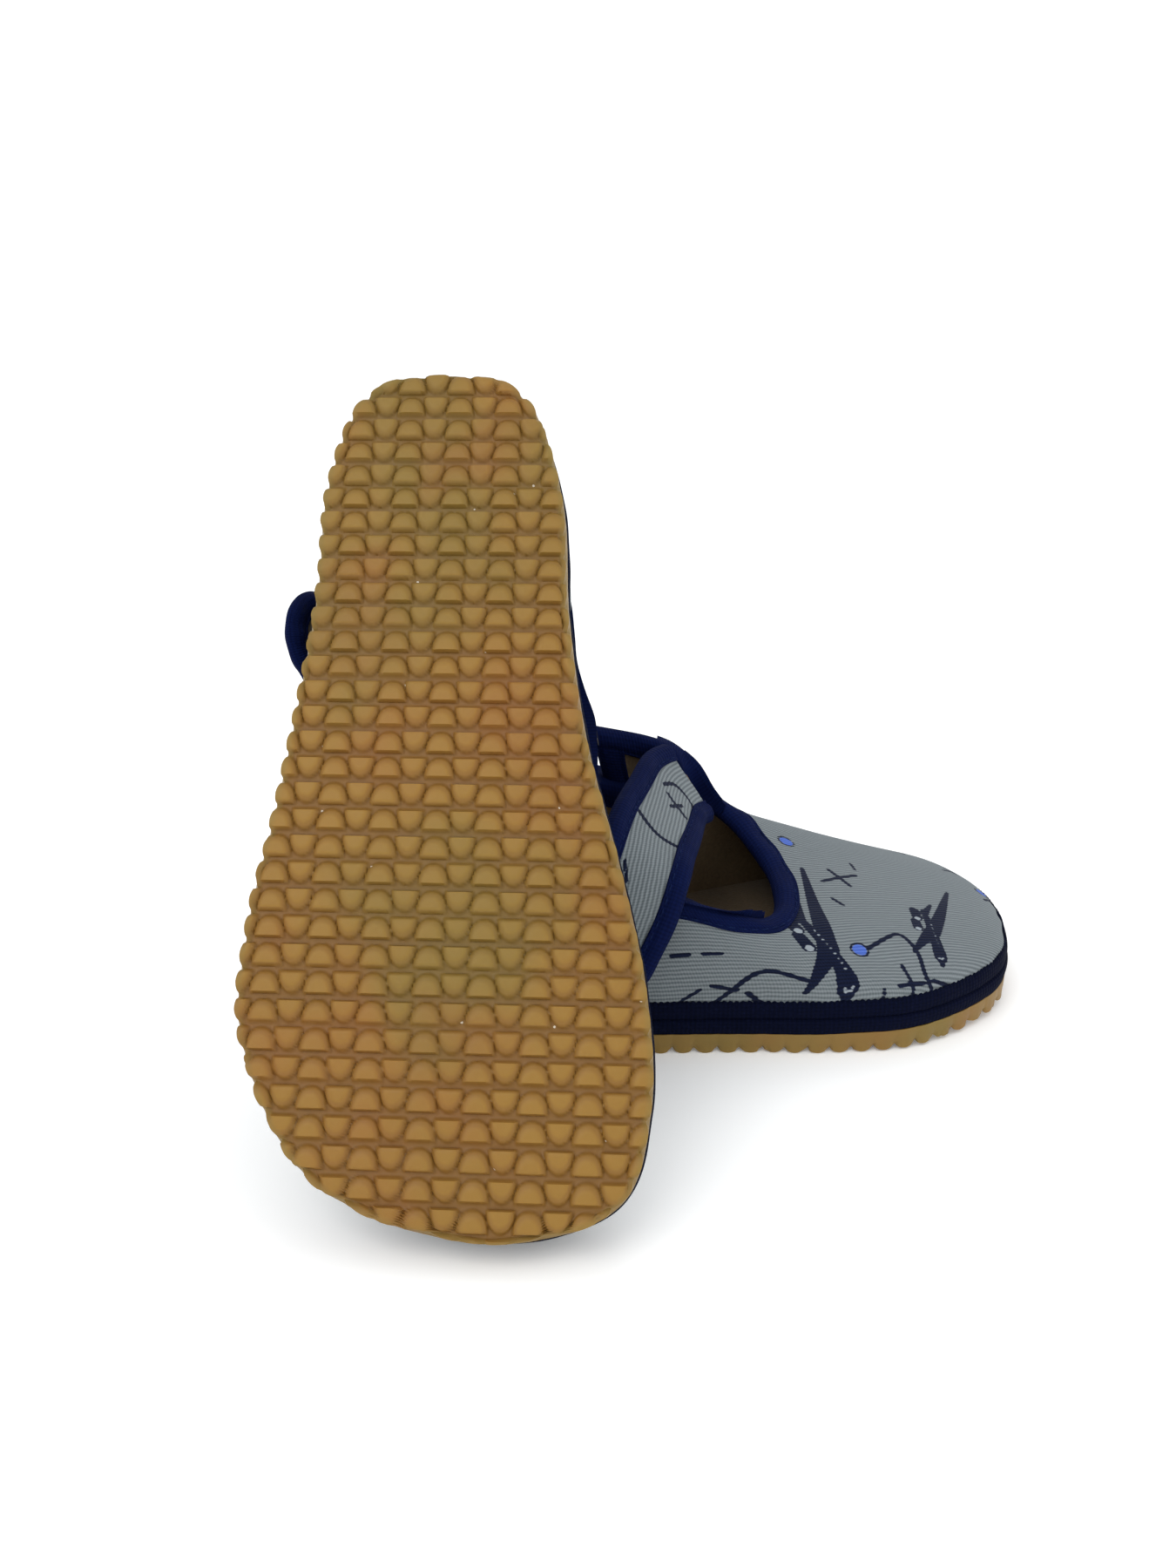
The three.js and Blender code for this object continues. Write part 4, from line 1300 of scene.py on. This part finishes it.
def buildFloor():
    # a wide pale dish: flat in the middle and curving up all round, so no horizon shows
    turns = stage["turns"]
    curl = np.linspace(0.1, math.pi / 2, stage["curlRings"])
    radius = np.concatenate([[0.001], np.linspace(0.2, stage["flat"], stage["flatRings"]),
                             stage["flat"] + stage["width"] * np.sin(curl)])
    level = np.concatenate([np.zeros(stage["flatRings"] + 1), stage["rise"] * (1 - np.cos(curl))])
    turn = np.linspace(0, 2 * math.pi, turns, endpoint=False)
    points = np.stack([radius[:, None] * np.cos(turn), radius[:, None] * np.sin(turn),
                       np.broadcast_to(level[:, None], (len(radius), turns))], -1)
    mesh = bpy.data.meshes.new("floor")
    mesh.from_pydata(points.reshape(-1, 3).tolist(), [], quads(len(radius), turns, wrapCols=True).tolist())
    mesh.shade_smooth()
    floor = bpy.data.objects.new("floor", mesh)
    bpy.context.scene.collection.objects.link(floor)
    material, _, shader = newMaterial("matt_white_paper")
    color = linearColor(stage["color"])
    for label, value in (("Base Color", color), ("Roughness", 0.9), ("Specular IOR Level", 0.1),
                         ("Emission Color", color), ("Emission Strength", stage["glow"])):
        shader.inputs[label].default_value = value
    mesh.materials.append(material)


lights = {
    "world": 0.95,
    "sky": "#f7f9fc",
    "aim": (0, 0, 0.05),
    "lamps": [  # name, place, size, watts
        ("soft_key", (-0.9, -1.0, 1.5), 1.2, 12),
        ("soft_fill", (1.3, -0.5, 0.9), 1.2, 3),
        ("soft_back", (0.2, 1.3, 1.4), 1.2, 5),
    ],
}


def buildLights():
    world = bpy.data.worlds.new("studio")
    bpy.context.scene.world = world
    world.use_nodes = True
    background = world.node_tree.nodes["Background"]
    background.inputs[0].default_value = linearColor(lights["sky"])
    background.inputs[1].default_value = lights["world"]
    for name, where, size, watts in lights["lamps"]:
        lamp = bpy.data.lights.new(name, "AREA")
        lamp.size = size
        lamp.energy = watts
        holder = bpy.data.objects.new(name, lamp)
        holder.location = where
        toAim = Vector(lights["aim"]) - Vector(where)
        holder.rotation_euler = toAim.to_track_quat("-Z", "Y").to_euler()
        bpy.context.scene.collection.objects.link(holder)


# place in mm, angles in degrees
view = {"place": (-65.2, -300.3, 166.3), "heading": 7.73, "down": 19.52, "roll": -0.22,
        "lens": 30.0, "sensor": 36, "nearest": 0.01}


def buildCamera():
    heading, down, roll = [math.radians(view[k]) for k in ("heading", "down", "roll")]
    forward = Vector((math.sin(heading) * math.cos(down), math.cos(heading) * math.cos(down),
                      -math.sin(down)))
    right = forward.cross(Vector((0, 0, 1))).normalized()
    up = right.cross(forward)
    basis = Matrix((right, up, -forward)).transposed() @ Matrix.Rotation(roll, 3, "Z")
    camera = bpy.data.cameras.new("camera")
    camera.lens = view["lens"]
    camera.sensor_width = view["sensor"]
    camera.clip_start = view["nearest"]
    holder = bpy.data.objects.new("camera", camera)
    holder.matrix_world = Matrix.Translation(Vector(view["place"]) / 1000) @ basis.to_4x4()
    bpy.context.scene.collection.objects.link(holder)
    bpy.context.scene.camera = holder


buildFloor()
buildLights()
buildCamera()
bpy.context.scene.view_settings.view_transform = "Standard"

print("scene made")
